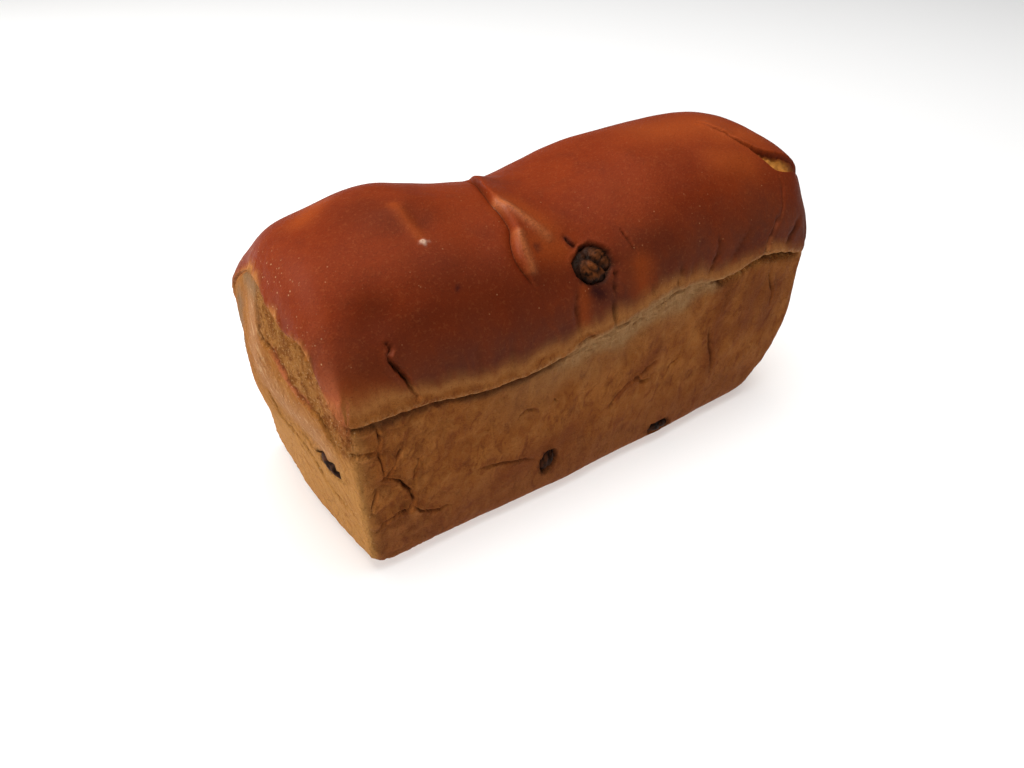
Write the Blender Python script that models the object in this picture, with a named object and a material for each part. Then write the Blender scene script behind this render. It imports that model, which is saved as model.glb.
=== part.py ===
"""Raisin tin loaf, whole and uncut.

The bread is one solid: the flat walls that the tin gave it, a domed crown in two lobes
that rose over the rim, the torn seam between them, and the folds, cracks and pleats of
the crust. Each raisin that shows is a piece of its own, lying in a socket in the crust.
Metres, +Z up. The origin is under the middle of the loaf, on the face that it rests on,
with +X along its length and the shown long side at -Y.
"""

import math
from collections import namedtuple

import bmesh
import bpy
import numpy as np
from mathutils import Matrix, Vector, noise
from mathutils.bvhtree import BVHTree

# Part of the loaf that stood in the tin
LEFT_END = -0.0930
RIGHT_END = 0.0881
HALF_WIDTH = 0.0421
RIM_HEIGHT = 0.0579
END_TAPER = 0.0022
SIDE_TAPER = 0.0019
CORNER_RADIUS = 0.0032
BASE_ROUND_LEFT = 0.0078
BASE_ROUND_RIGHT = 0.037
BASE_ROUND_SIDE = 0.0077
LEFT_BULGE = 0.0040
RIGHT_BULGE = 0.0105
SIDE_BULGE = 0.0015
BULGE_AT_BASE = 0.58
# Moves the whole loaf along X, so that the origin is under the middle of its box
CENTRING = 0.0011

# Crown, with its height over the rim at stations from the left end (-1) to the right (1)
OVERHANG = 0.0002
CROWN_STATIONS = (-1.0, -0.66, -0.33, 0.0, 0.33, 0.66, 1.0)
CROWN_HEIGHTS = (0.0495, 0.0433, 0.0399, 0.0363, 0.0408, 0.0424, 0.0492)
CROWN_POWER_LEFT = 4.58
CROWN_POWER_RIGHT = 4.20
CROWN_POWER_ACROSS = 2.23
PROFILE_ASPECT_LONG = 0.42
PROFILE_ASPECT_ACROSS = 0.9
SEAM_FADE = 0.030

# Seam between walls and crown on each long side: x and height
SEAM_FRONT = (
    (-0.093, 0.0602), (-0.068, 0.0588), (-0.0395, 0.0550), (-0.022, 0.0565),
    (0.000, 0.0591), (0.0255, 0.0638), (0.047, 0.0610), (0.065, 0.0634), (0.087, 0.0575),
)
SEAM_BACK = (
    (-0.093, 0.0590), (-0.060, 0.0565), (-0.020, 0.0605), (0.020, 0.0570),
    (0.055, 0.0615), (0.087, 0.0580),
)
SEAM_DEPTH = 0.0013
SEAM_DEPTH_ENDS = 0.0003
SEAM_WIDTH = 0.0012
CORNER_CALM = 0.008
LIP_HEIGHT = 0.0007
LIP_RISE = 0.0028
TORN_STRIP_START = -0.024
TORN_STRIP_END = 0.078
TORN_STRIP_DROP = 0.0065
TORN_STRIP_DEPTH = 0.0008

# Lattice of the bread's surface, and how finely it is split near a crease
CELLS = (38, 22, 11)
SPLITS = ((0.0036, 0.0036), (0.0021, 0.0020))
GATHER_FULL = 0.0010
GATHER_REACH = 0.0020
FOLD_STEP = 0.0014
RELIEF_FREE_HEIGHT = 0.004
SWELL_SIZE = 0.026
SWELL_DEPTH = 0.0006
LUMP_SIZE = 0.009
LUMP_DEPTH = 0.00022

# A line drawn on one face, as seen straight on, and thrown onto the loaf: x, y on the
# top, x, z on the long sides, y, z on the ends. A fold is raised on the left of its line.
Crease = namedtuple("Crease", "face points depth width")

CRACKS = {
    "left lobe crack": Crease("front", (
        (-0.0761, 0.0802), (-0.0769, 0.0766), (-0.0764, 0.0739), (-0.0741, 0.0711),
        (-0.0723, 0.0677), (-0.0717, 0.0646)), 0.0024, 0.0010),
    "nick": Crease("top", ((0.0103, -0.0320), (0.0105, -0.0344), (0.0108, -0.0372)),
                   0.0007, 0.0007),
    "raisin tail": Crease("top", ((-0.0098, -0.0285), (-0.0076, -0.0305)), 0.0009, 0.0009),
    "pleat under raisin": Crease("front", (
        (0.0050, 0.0802), (0.0025, 0.0764), (0.0004, 0.0714), (-0.0008, 0.0600)),
        0.0009, 0.0011),
    "pleat left of raisin": Crease("front", (
        (-0.0126, 0.0755), (-0.0146, 0.0709), (-0.0154, 0.0600)), 0.0009, 0.0011),
    "right pleat": Crease("front", ((0.0453, 0.0724), (0.0439, 0.0680), (0.0393, 0.0640)),
                          0.0008, 0.0010),
    "short pleat": Crease("front", ((0.0261, 0.0690), (0.0255, 0.0650)), 0.0007, 0.0009),
    "end pleat": Crease("front", ((0.0706, 0.0677), (0.0657, 0.0645)), 0.0008, 0.0010),
    "corner step": Crease("front", (
        (-0.0920, 0.0498), (-0.0870, 0.0491), (-0.0850, 0.0504), (-0.0834, 0.0560)),
        0.0019, 0.0011),
    "corner branch": Crease("front", ((-0.0851, 0.0497), (-0.0842, 0.0400)), 0.0011, 0.0009),
    "slanting branch": Crease("front", (
        (-0.0780, 0.0478), (-0.0803, 0.0404), (-0.0822, 0.0373)), 0.0011, 0.0010),
    "outer branch": Crease("front", (
        (-0.0709, 0.0435), (-0.0736, 0.0382), (-0.0744, 0.0333)), 0.0010, 0.0010),
    "ring crack": Crease("front", (
        (-0.0845, 0.0373), (-0.0816, 0.0370), (-0.0784, 0.0333), (-0.0759, 0.0312),
        (-0.0760, 0.0266), (-0.0777, 0.0228), (-0.0831, 0.0224), (-0.0879, 0.0174),
        (-0.0905, 0.0156)), 0.0018, 0.0011),
    "low branch": Crease("front", (
        (-0.0775, 0.0241), (-0.0752, 0.0197), (-0.0723, 0.0172), (-0.0617, 0.0149)),
        0.0013, 0.0010),
    "edge branch": Crease("front", ((-0.0866, 0.0352), (-0.0890, 0.0228)), 0.0012, 0.0010),
    "wall crease": Crease("front", (
        (0.0214, 0.0400), (0.0174, 0.0357), (0.0143, 0.0350), (0.0050, 0.0309)),
        0.0008, 0.0010),
    "low crease": Crease("front", (
        (-0.0420, 0.0216), (-0.0370, 0.0212), (-0.0331, 0.0183), (-0.0291, 0.0167)),
        0.0009, 0.0010),
    "right crease": Crease("front", ((0.0721, 0.0519), (0.0751, 0.0420)), 0.0008, 0.0010),
    "right shoulder crease": Crease("front", (
        (0.0791, 0.0858), (0.0796, 0.0822), (0.0763, 0.0770), (0.0729, 0.0709),
        (0.0681, 0.0680)), 0.0010, 0.0013),
    "torn notch": Crease("top", (
        (0.0740, -0.0215), (0.0766, -0.0262), (0.0800, -0.0285), (0.0860, -0.0290),
        (0.0920, -0.0290)), 0.0026, 0.0022),
    "rim fold": Crease("left", (
        (0.0065, 0.0847), (-0.0019, 0.0673), (-0.0059, 0.0580), (-0.0210, 0.0576),
        (-0.0280, 0.0519), (-0.0312, 0.0475), (-0.0305, 0.0338)), 0.0012, 0.0014),
    "low end fold": Crease("left", (
        (0.0034, 0.0528), (0.0003, 0.0410), (-0.0070, 0.0367), (-0.0138, 0.0321),
        (-0.0178, 0.0277), (-0.0328, 0.0228)), 0.0010, 0.0013),
    "raisin slit": Crease("left", ((-0.0078, 0.0395), (-0.0139, 0.0380), (-0.0195, 0.0378)),
                          0.0016, 0.0010),
    "back lobe crack": Crease("back", ((0.0560, 0.0760), (0.0585, 0.0710), (0.0575, 0.0650)),
                              0.0018, 0.0010),
    "back wall crease": Crease("back", ((-0.0200, 0.0390), (-0.0120, 0.0330), (-0.0060, 0.0310)),
                               0.0009, 0.0011),
}
FOLDS = {
    "lobe fold": Crease("top", (
        (-0.0175, 0.0150), (-0.0183, 0.0076), (-0.0213, -0.0020), (-0.0231, -0.0095),
        (-0.0241, -0.0217), (-0.0270, -0.0266), (-0.0286, -0.0314), (-0.0272, -0.0369)),
        0.0021, 0.0070),
    "left crust edge": Crease("left", (
        (0.0400, 0.0620), (0.0330, 0.0740), (0.0200, 0.0850), (0.0072, 0.0862),
        (-0.0057, 0.0812), (-0.0139, 0.0785), (-0.0233, 0.0785), (-0.0288, 0.0739),
        (-0.0386, 0.0624), (-0.0420, 0.0606)), 0.0010, 0.0035),
    "right crust edge": Crease("right", (
        (-0.0410, 0.0610), (-0.0330, 0.0700), (-0.0200, 0.0760), (-0.0050, 0.0800),
        (0.0120, 0.0770), (0.0280, 0.0720), (0.0400, 0.0600)), 0.0010, 0.0035),
    "notch flap": Crease("top", ((0.0900, -0.0215), (0.0830, -0.0220), (0.0770, -0.0200)),
                         0.0010, 0.0040),
}
RIDGES = {
    "left lobe shoulder": Crease("top", ((-0.0534, -0.0150), (-0.0534, 0.0360)), 0.0037, 0.0149),
    "gloss wrinkle": Crease("top", (
        (-0.0235, -0.0106), (-0.0190, -0.0170), (-0.0154, -0.0224), (-0.0145, -0.0258)),
        0.0011, 0.0020),
    "fleck ridge": Crease("top", ((-0.0532, -0.0043), (-0.0551, -0.0124), (-0.0542, -0.0214)),
                          0.0006, 0.0024),
    "right soft ridge": Crease("top", ((0.0246, 0.0004), (0.0311, -0.0116)), 0.0005, 0.0030),
    "right end ridge": Crease("top", ((0.0708, 0.0023), (0.0769, -0.0108)), 0.0008, 0.0030),
    "smooth end band": Crease("left", (
        (0.0110, 0.0740), (0.0040, 0.0580), (-0.0070, 0.0500), (-0.0200, 0.0470),
        (-0.0260, 0.0420)), 0.0010, 0.0050),
}
# Soft hollows, and swellings where the depth is negative: face, place, radius and depth
DENTS = (
    ("left", (0.0138, 0.0477), 0.0197, -0.0044),
    ("right", (-0.0250, 0.0850), 0.0120, -0.0024),
    ("left", (0.0235, 0.0830), 0.0110, 0.0020),
    ("top", (-0.0765, -0.0330), 0.0070, 0.0016),
    ("top", (-0.0060, -0.0330), 0.0120, 0.0012),
    ("top", (-0.0330, -0.0200), 0.0130, 0.0010),
    ("top", (-0.0200, 0.0280), 0.0160, 0.0015),
    ("front", (0.0300, 0.0300), 0.0180, 0.0008),
    ("back", (-0.0350, 0.0280), 0.0200, 0.0009),
)

# Raisins: face, place on it, half sizes, turn about the surface's normal, and the part
# of their thickness that is below the crust
Raisin = namedtuple("Raisin", "face place half_sizes turn sunk detail")
RAISINS = {
    "raisin_crown": Raisin("top", (-0.0041, -0.0362), (0.0068, 0.0060, 0.0044), 20, 0.80, 3),
    "raisin_side": Raisin("front", (-0.0263, 0.0158), (0.0029, 0.0046, 0.0028), -20, 0.86, 2),
    "raisin_base": Raisin("front", (0.0234, 0.0068), (0.0052, 0.0024, 0.0026), -6, 0.84, 2),
    "raisin_end": Raisin("left", (-0.0258, 0.0366), (0.0064, 0.0025, 0.0027), -18, 0.82, 2),
    "raisin_back_wall": Raisin("back", (0.0300, 0.0260), (0.0055, 0.0042, 0.0032), 30, 0.82, 2),
    "raisin_back_crown": Raisin("top", (-0.0480, 0.0300), (0.0058, 0.0050, 0.0038), 70, 0.84, 2),
    "raisin_right": Raisin("right", (0.0120, 0.0440), (0.0060, 0.0042, 0.0032), 15, 0.82, 2),
}
SOCKET_GAP = 0.00045
WRINKLE_DEPTH = 0.16
WRINKLES_PER_RADIUS = 1.7

# Finishes: colour, roughness
CRUST = ((0.212, 0.060, 0.020), 0.45)
RAISIN_SKIN = ((0.030, 0.012, 0.007), 0.5)


def clear_scene():
    for old in list(bpy.data.objects):
        bpy.data.objects.remove(old, do_unlink=True)


def make_material(name, finish):
    colour, roughness = finish
    material = bpy.data.materials.new(name)
    material.use_nodes = True
    shader = material.node_tree.nodes["Principled BSDF"]
    shader.inputs["Base Color"].default_value = (*colour, 1)
    shader.inputs["Roughness"].default_value = roughness
    shader.inputs["Metallic"].default_value = 0
    material.diffuse_color = (*colour, 1)
    return material


def add_object(name, bm, material):
    mesh = bpy.data.meshes.new(name)
    bm.to_mesh(mesh)
    bm.free()
    mesh.materials.append(material)
    mesh.shade_smooth()
    obj = bpy.data.objects.new(name, mesh)
    bpy.context.scene.collection.objects.link(obj)
    return obj


def smooth_curve(stations, values, x):
    """Smooth curve through a few stations, read at every x."""
    stations = np.asarray(stations)
    values = np.asarray(values)
    slopes = np.gradient(values, stations)
    first = np.clip(np.searchsorted(stations, x) - 1, 0, len(stations) - 2)
    step = stations[first + 1] - stations[first]
    t = np.clip((x - stations[first]) / step, 0, 1)
    start = (1 + 2 * t) * (1 - t) ** 2 * values[first]
    leaving = t * (1 - t) ** 2 * step * slopes[first]
    end = t * t * (3 - 2 * t) * values[first + 1]
    arriving = t * t * (t - 1) * step * slopes[first + 1]
    return start + leaving + end + arriving


def smooth_step(low, high, x):
    t = np.clip((x - low) / (high - low), 0, 1)
    return t * t * (3 - 2 * t)


def profile_table(power, aspect):
    """Arc lengths along a quarter of the crown's profile, with the x of each."""
    angle = np.linspace(0, math.pi / 2, 2000)
    x = np.sin(angle) ** (2 / power)
    rise = aspect * np.cos(angle) ** (2 / power)
    arc = np.concatenate([[0], np.cumsum(np.hypot(np.diff(x), np.diff(rise)))])
    return arc / arc[-1], x


ALONG_LEFT = profile_table(CROWN_POWER_LEFT, PROFILE_ASPECT_LONG)
ALONG_RIGHT = profile_table(CROWN_POWER_RIGHT, PROFILE_ASPECT_LONG)
ACROSS = profile_table(CROWN_POWER_ACROSS, PROFILE_ASPECT_ACROSS)


def base_inset(height, radius):
    """How far a rounded bottom edge stands in from the wall at each height."""
    t = np.clip(1 - height / radius, 0, 1)
    return radius * (1 - np.sqrt(1 - t * t))


def plan(u, v, left, right, half_width, bulge):
    """Rounded rectangle with bulging sides, over the square from -1 to 1."""
    centre = (left + right) / 2
    half_length = (right - left) / 2
    x = u * half_length
    y = v * half_width
    near_x = np.clip(x, CORNER_RADIUS - half_length, half_length - CORNER_RADIUS)
    near_y = np.clip(y, CORNER_RADIUS - half_width, half_width - CORNER_RADIUS)
    off_x = x - near_x
    off_y = y - near_y
    distance = np.hypot(off_x, off_y)
    reach = np.maximum(np.abs(off_x), np.abs(off_y))
    shrink = np.where(distance > 1e-9, reach / np.maximum(distance, 1e-9), 1)
    x = near_x + off_x * shrink
    y = near_y + off_y * shrink
    along = x / half_length
    across = y / half_width
    end_bulge = np.where(along > 0, RIGHT_BULGE, -LEFT_BULGE) * bulge
    x = x + end_bulge * np.abs(along) ** 4 * (1 - across ** 2)
    y = y + np.sign(across) * SIDE_BULGE * np.abs(across) ** 4 * (1 - along ** 2)
    return x + centre, y


def seam_height(x, v):
    front = smooth_curve(*zip(*SEAM_FRONT), x)
    back = smooth_curve(*zip(*SEAM_BACK), x)
    share = (1 + v) / 2
    return front * (1 - share) + back * share


def loaf_points(cube):
    """Points of the loaf for points on the faces of the cube from -1 to 1."""
    u, v, w = cube.T
    along_left = np.interp(np.abs(u), *ALONG_LEFT)
    along_right = np.interp(np.abs(u), *ALONG_RIGHT)
    u = np.where(u > 0, along_right, -along_left)
    v = np.sign(v) * np.interp(np.abs(v), *ACROSS)

    # walls and base
    level = np.sin(math.pi * (np.clip(w, -1, 1) + 1) / 4) ** 2
    height = RIM_HEIGHT * level
    taper = END_TAPER * (1 - level)
    left = LEFT_END + taper + base_inset(height, BASE_ROUND_LEFT)
    right = RIGHT_END - taper - base_inset(height, BASE_ROUND_RIGHT)
    half_width = HALF_WIDTH - SIDE_TAPER * (1 - level) - base_inset(height, BASE_ROUND_SIDE)
    bulge = BULGE_AT_BASE + (1 - BULGE_AT_BASE) * level
    wall_x, wall_y = plan(u, v, left, right, half_width, bulge)
    wall_z = height + (seam_height(wall_x, v) - RIM_HEIGHT) * level ** 2

    # crown
    crown_x, crown_y = plan(
        u, v, LEFT_END - OVERHANG, RIGHT_END + OVERHANG, HALF_WIDTH + OVERHANG, 1)
    power = np.where(u > 0, CROWN_POWER_RIGHT, CROWN_POWER_LEFT)
    lengthwise = np.maximum(0, 1 - np.abs(u) ** power) ** (1 / power)
    crosswise = np.maximum(0, 1 - np.abs(v) ** CROWN_POWER_ACROSS) ** (1 / CROWN_POWER_ACROSS)
    rise = smooth_curve(CROWN_STATIONS, CROWN_HEIGHTS, u) * lengthwise * crosswise
    follow = np.clip(1 - rise / SEAM_FADE, 0, 1) ** 2
    crown_z = RIM_HEIGHT + rise + (seam_height(crown_x, v) - RIM_HEIGHT) * follow

    on_crown = w > 1 - 1e-6
    x = np.where(on_crown, crown_x, wall_x)
    y = np.where(on_crown, crown_y, wall_y)
    z = np.where(on_crown, crown_z, wall_z)
    return np.stack([x, y, z], 1)


def vertex_array(bm):
    return np.array([vertex.co[:] for vertex in bm.verts])


def lattice():
    """Cube from -1 to 1, cut into cells along each axis."""
    bm = bmesh.new()
    bmesh.ops.create_cube(bm, size=2)
    for axis, cells in enumerate(CELLS):
        edges = [e for e in bm.edges
                 if abs(e.verts[0].co[axis] - e.verts[1].co[axis]) > 1.9]
        bmesh.ops.subdivide_edges(bm, edges=edges, cuts=cells - 1, use_grid_fill=True)
    return bm


def surface_tree(bm, points):
    """Search tree over the lattice's faces at the given points."""
    bm.verts.index_update()
    polygons = [[v.index for v in face.verts] for face in bm.faces]
    return BVHTree.FromPolygons([Vector(p) for p in points], polygons)


def throw(tree, face, place):
    """Point of the surface that is seen straight on at a place on one face, and its normal."""
    a, b = place
    far = 0.3
    start, aim = {
        "top": ((a, b, far), (0, 0, -1)),
        "front": ((a, -far, b), (0, 1, 0)),
        "back": ((a, far, b), (0, -1, 0)),
        "left": ((-far, a, b), (1, 0, 0)),
        "right": ((far, a, b), (-1, 0, 0)),
    }[face]
    point, normal, _, _ = tree.ray_cast(Vector(start), Vector(aim))
    return point, normal


def thrown_line(tree, crease):
    points = [throw(tree, crease.face, place)[0] for place in crease.points]
    return np.array([p[:] for p in points if p is not None])


def follow_line(points, line):
    """Offset from the nearest spot of a line, the line's direction there, and how far
    along it the spot is, from 0 to 1."""
    steps = line[1:] - line[:-1]
    lengths = np.linalg.norm(steps, axis=1)
    starts = np.concatenate([[0], np.cumsum(lengths)])
    best = np.full(len(points), np.inf)
    offset = np.zeros((len(points), 3))
    heading = np.zeros((len(points), 3))
    along = np.zeros(len(points))
    for start, step, length, before in zip(line, steps, lengths, starts):
        t = np.clip((points - start) @ step / length ** 2, 0, 1)
        gap = points - start - t[:, None] * step
        distance = np.linalg.norm(gap, axis=1)
        nearer = distance < best
        best[nearer] = distance[nearer]
        offset[nearer] = gap[nearer]
        heading[nearer] = step / length
        along[nearer] = (before + t[nearer] * length) / starts[-1]
    return offset, heading, along


def refine(bm, lines):
    """Splits the lattice's edges near the creases, and once more beside the seam."""
    rim = [e for e in bm.edges if touches_rim(e) and not follows_rim(e)]
    bmesh.ops.subdivide_edges(bm, edges=rim, cuts=1, use_grid_fill=True)
    for longest, reach in SPLITS:
        points = loaf_points(vertex_array(bm))
        near = np.full(len(points), np.inf)
        for line in lines:
            offset, _, _ = follow_line(points, line)
            near = np.minimum(near, np.linalg.norm(offset, axis=1))
        bm.verts.index_update()
        edges = []
        for edge in bm.edges:
            a, b = (v.index for v in edge.verts)
            length = np.linalg.norm(points[a] - points[b])
            if length > longest and min(near[a], near[b]) < reach:
                edges.append(edge)
        bmesh.ops.subdivide_edges(bm, edges=edges, cuts=1, use_grid_fill=True)


def on_rim(vertex):
    x, y, z = vertex.co
    return z > 0.999 and max(abs(x), abs(y)) > 0.999


def touches_rim(edge):
    return any(on_rim(v) for v in edge.verts)


def follows_rim(edge):
    return all(on_rim(v) for v in edge.verts)


def gather(points, lines):
    """Slides the points beside a crease onto it, so that its bottom is one clean line."""
    for line in lines:
        offset, _, _ = follow_line(points, line)
        distance = np.linalg.norm(offset, axis=1)
        pull = 1 - smooth_step(GATHER_FULL, GATHER_REACH, distance)
        points = points - offset * pull[:, None]
    return points


def crack_relief(points, line, crease):
    """Narrow groove that runs out at both ends."""
    offset, _, along = follow_line(points, line)
    distance = np.linalg.norm(offset, axis=1)
    fade = 0.35 + 0.65 * smooth_step(0, 0.25, np.minimum(along, 1 - along))
    return -crease.depth * fade * np.exp(-(distance / crease.width) ** 2)


def ridge_relief(points, line, crease):
    return -crack_relief(points, line, crease)


def fold_relief(points, normals, line, crease):
    """Lip that stands up on the left of a line and sinks sharply on its right."""
    offset, heading, along = follow_line(points, line)
    left = np.cross(normals, heading)
    side = np.sum(offset * left, axis=1)
    distance = np.linalg.norm(offset, axis=1)
    fade = smooth_step(0, 0.2, np.minimum(along, 1 - along) + 0.03)
    lip = np.exp(-(distance / crease.width) ** 1.5)
    sink = -0.45 * np.exp(-(distance / (0.45 * crease.width)) ** 1.5)
    lean = smooth_step(0, FOLD_STEP, side)
    return crease.depth * fade * (lip * lean + sink * (1 - lean))


def seam_relief(points, cube):
    """Groove along the seam, the crown's lip over it, and the torn strip under it."""
    x, y, z = points.T
    over = z - seam_height(x, np.clip(y / HALF_WIDTH, -1, 1))
    long_side = smooth_step(0.80, 0.97, np.abs(y) / HALF_WIDTH)
    end = np.maximum(LEFT_END - x, x - RIGHT_END)
    long_side = long_side * smooth_step(0, CORNER_CALM, -end)
    depth = SEAM_DEPTH_ENDS + (SEAM_DEPTH - SEAM_DEPTH_ENDS) * long_side
    steep = smooth_step(0.6, 0.9, np.maximum(np.abs(cube[:, 0]), np.abs(cube[:, 1])))
    groove = -depth * np.exp(-(over / SEAM_WIDTH) ** 2)
    lip = LIP_HEIGHT * long_side * np.exp(-((over - LIP_RISE) / LIP_RISE) ** 2)
    inside = smooth_step(TORN_STRIP_START, TORN_STRIP_START + 0.012, x)
    inside = inside * (1 - smooth_step(TORN_STRIP_END - 0.012, TORN_STRIP_END, x))
    strip = smooth_step(-TORN_STRIP_DROP - 0.002, -TORN_STRIP_DROP + 0.002, over)
    strip = strip * (over < 0.0005) * inside * long_side
    return steep * (groove + lip - TORN_STRIP_DEPTH * strip)


def uneven_relief(points):
    """Gentle swelling and small lumps that every hand-made loaf has."""
    swell = [noise.noise(Vector(p) / SWELL_SIZE) for p in points]
    lumps = [noise.noise(Vector(p) / LUMP_SIZE + Vector((7, 3, 5))) for p in points]
    return SWELL_DEPTH * np.array(swell) + LUMP_DEPTH * np.array(lumps)


def dent_relief(points, tree):
    total = np.zeros(len(points))
    for face, place, radius, depth in DENTS:
        centre = np.array(throw(tree, face, place)[0][:])
        distance = np.linalg.norm(points - centre, axis=1)
        total -= depth * np.exp(-(distance / radius) ** 2)
    return total


def mesh_normals(bm):
    bm.normal_update()
    return np.array([vertex.normal[:] for vertex in bm.verts])


def set_points(bm, points):
    for vertex, point in zip(bm.verts, points):
        vertex.co = point


def make_bread(crust):
    """The one solid of bread, and a search tree over its surface for the raisins."""
    bm = lattice()
    tree = surface_tree(bm, loaf_points(vertex_array(bm)))
    cracks = [(c, thrown_line(tree, c)) for c in CRACKS.values()]
    folds = [(c, thrown_line(tree, c)) for c in FOLDS.values()]
    ridges = [(c, thrown_line(tree, c)) for c in RIDGES.values()]
    refine(bm, [line for _, line in cracks + folds])

    cube = vertex_array(bm)
    points = gather(loaf_points(cube), [line for _, line in cracks + folds])
    set_points(bm, points)
    bmesh.ops.recalc_face_normals(bm, faces=bm.faces)
    normals = mesh_normals(bm)
    relief = seam_relief(points, cube) + uneven_relief(points) + dent_relief(points, tree)
    for crease, line in cracks:
        relief += crack_relief(points, line, crease)
    for crease, line in ridges:
        relief += ridge_relief(points, line, crease)
    for crease, line in folds:
        relief += fold_relief(points, normals, line, crease)
    relief *= smooth_step(0, RELIEF_FREE_HEIGHT, points[:, 2])
    set_points(bm, points + normals * relief[:, None])

    underside = [f for f in bm.faces if all(v.co.z < 1e-5 for v in f.verts)]
    bmesh.ops.dissolve_faces(bm, faces=underside, use_verts=False)
    bmesh.ops.triangulate(bm, faces=bm.faces, quad_method="BEAUTY", ngon_method="BEAUTY")
    bm.normal_update()
    tree = BVHTree.FromBMesh(bm)
    return add_object("loaf", bm, crust), tree


def raisin_frame(tree, raisin):
    """Matrix that lays a raisin in the crust, its thickness along the surface's normal."""
    point, normal = throw(tree, raisin.face, raisin.place)
    depth = (2 * raisin.sunk - 1) * raisin.half_sizes[2]
    across = Vector((1, 0, 0)) if abs(normal.x) < 0.8 else Vector((0, -1, 0))
    across = (across - normal * across.dot(normal)).normalized()
    turn = Matrix.Rotation(math.radians(raisin.turn), 3, normal)
    across = turn @ across
    frame = Matrix((across, normal.cross(across), normal)).transposed().to_4x4()
    frame.translation = point - normal * depth
    return frame


def make_raisin(name, raisin, frame, skin):
    """Wrinkled skin on an egg shape, drawn in by a ridged pattern."""
    bm = bmesh.new()
    bmesh.ops.create_icosphere(bm, subdivisions=raisin.detail, radius=1)
    seed = Vector((len(name), raisin.turn, 3)) * 0.37
    for vertex in bm.verts:
        place = vertex.co * WRINKLES_PER_RADIUS + seed
        wrinkle = abs(noise.noise(place)) + 0.5 * abs(noise.noise(2.1 * place))
        draw_in = WRINKLE_DEPTH * (1 - min(1, 2.2 * wrinkle))
        vertex.co = vertex.co * (1 - draw_in)
    bmesh.ops.scale(bm, vec=raisin.half_sizes, verts=bm.verts)
    bmesh.ops.transform(bm, matrix=frame, verts=bm.verts)
    return add_object(name, bm, skin)


def make_socket_cutter(frames):
    """Smooth egg shapes, a little larger than the raisins, that cut their sockets."""
    bm = bmesh.new()
    for raisin, frame in frames:
        sizes = [half + SOCKET_GAP for half in raisin.half_sizes]
        new = bmesh.ops.create_icosphere(bm, subdivisions=3, radius=1.01)["verts"]
        bmesh.ops.scale(bm, vec=sizes, verts=new)
        bmesh.ops.transform(bm, matrix=frame, verts=new)
    cutter = add_object("sockets", bm, None)
    cutter.hide_render = True
    cutter.display_type = "WIRE"
    return cutter


def centre(objects):
    for obj in objects:
        obj.data.transform(Matrix.Translation((CENTRING, 0, 0)))


def cut_sockets(bread, cutter):
    cut = bread.modifiers.new("Sockets", "BOOLEAN")
    cut.operation = "DIFFERENCE"
    cut.solver = "EXACT"
    cut.object = cutter


clear_scene()
bread, bread_tree = make_bread(make_material("crust", CRUST))
raisin_skin = make_material("raisin_skin", RAISIN_SKIN)
raisins = []
placed = []
for raisin_name, raisin_shape in RAISINS.items():
    lie = raisin_frame(bread_tree, raisin_shape)
    raisins.append(make_raisin(raisin_name, raisin_shape, lie, raisin_skin))
    placed.append((raisin_shape, lie))
socket_cutter = make_socket_cutter(placed)
centre([bread, socket_cutter, *raisins])
cut_sockets(bread, socket_cutter)
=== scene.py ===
import math
from collections import namedtuple

import bmesh
import bpy
import numpy as np
from mathutils import Euler, Matrix, Vector, noise
from mathutils.bvhtree import BVHTree


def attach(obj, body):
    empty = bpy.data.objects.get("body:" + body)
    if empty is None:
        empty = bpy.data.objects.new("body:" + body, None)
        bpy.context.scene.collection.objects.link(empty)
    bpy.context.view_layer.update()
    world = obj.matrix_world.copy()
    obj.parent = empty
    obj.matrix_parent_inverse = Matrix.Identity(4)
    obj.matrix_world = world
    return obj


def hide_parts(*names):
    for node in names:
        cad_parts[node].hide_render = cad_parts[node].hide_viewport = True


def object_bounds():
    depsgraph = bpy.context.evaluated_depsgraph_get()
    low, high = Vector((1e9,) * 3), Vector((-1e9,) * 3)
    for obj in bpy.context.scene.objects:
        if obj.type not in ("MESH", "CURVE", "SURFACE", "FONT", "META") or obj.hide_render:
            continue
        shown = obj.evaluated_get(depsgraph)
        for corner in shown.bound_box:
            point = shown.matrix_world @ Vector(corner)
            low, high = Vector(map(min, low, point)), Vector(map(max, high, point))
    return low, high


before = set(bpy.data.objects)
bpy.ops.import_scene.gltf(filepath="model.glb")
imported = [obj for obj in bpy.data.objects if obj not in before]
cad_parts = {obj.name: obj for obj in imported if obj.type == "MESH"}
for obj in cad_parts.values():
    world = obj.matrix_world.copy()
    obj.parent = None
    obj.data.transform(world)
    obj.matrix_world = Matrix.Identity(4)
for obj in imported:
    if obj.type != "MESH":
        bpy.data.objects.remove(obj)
cad_low, cad_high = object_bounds()

# Table, light and camera
# The loaf stands on a plain white table in soft daylight that comes from behind its left
# end, so that the left end is bright and the long side is in gentle shade.

TABLE_SIZE = 4.0
TABLE_COLOUR = (0.93, 0.93, 0.93)
CAMERA_PLACE = (-0.1569, -0.2265, 0.2135)
CAMERA_TURN = (53.79, 1.58, -33.91)
CAMERA_LENS = 31.64
SKY_STRENGTH = 0.12
# Soft lights: place, width, watts, colour and whether they throw a shadow
LAMPS = {
    "window": ((-0.75, 0.45, 0.75), 0.8, 13.0, (1.0, 0.985, 0.96), False),
    "ceiling": ((0.10, 0.05, 1.10), 1.2, 11.0, (1.0, 1.0, 1.0), True),
}


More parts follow.
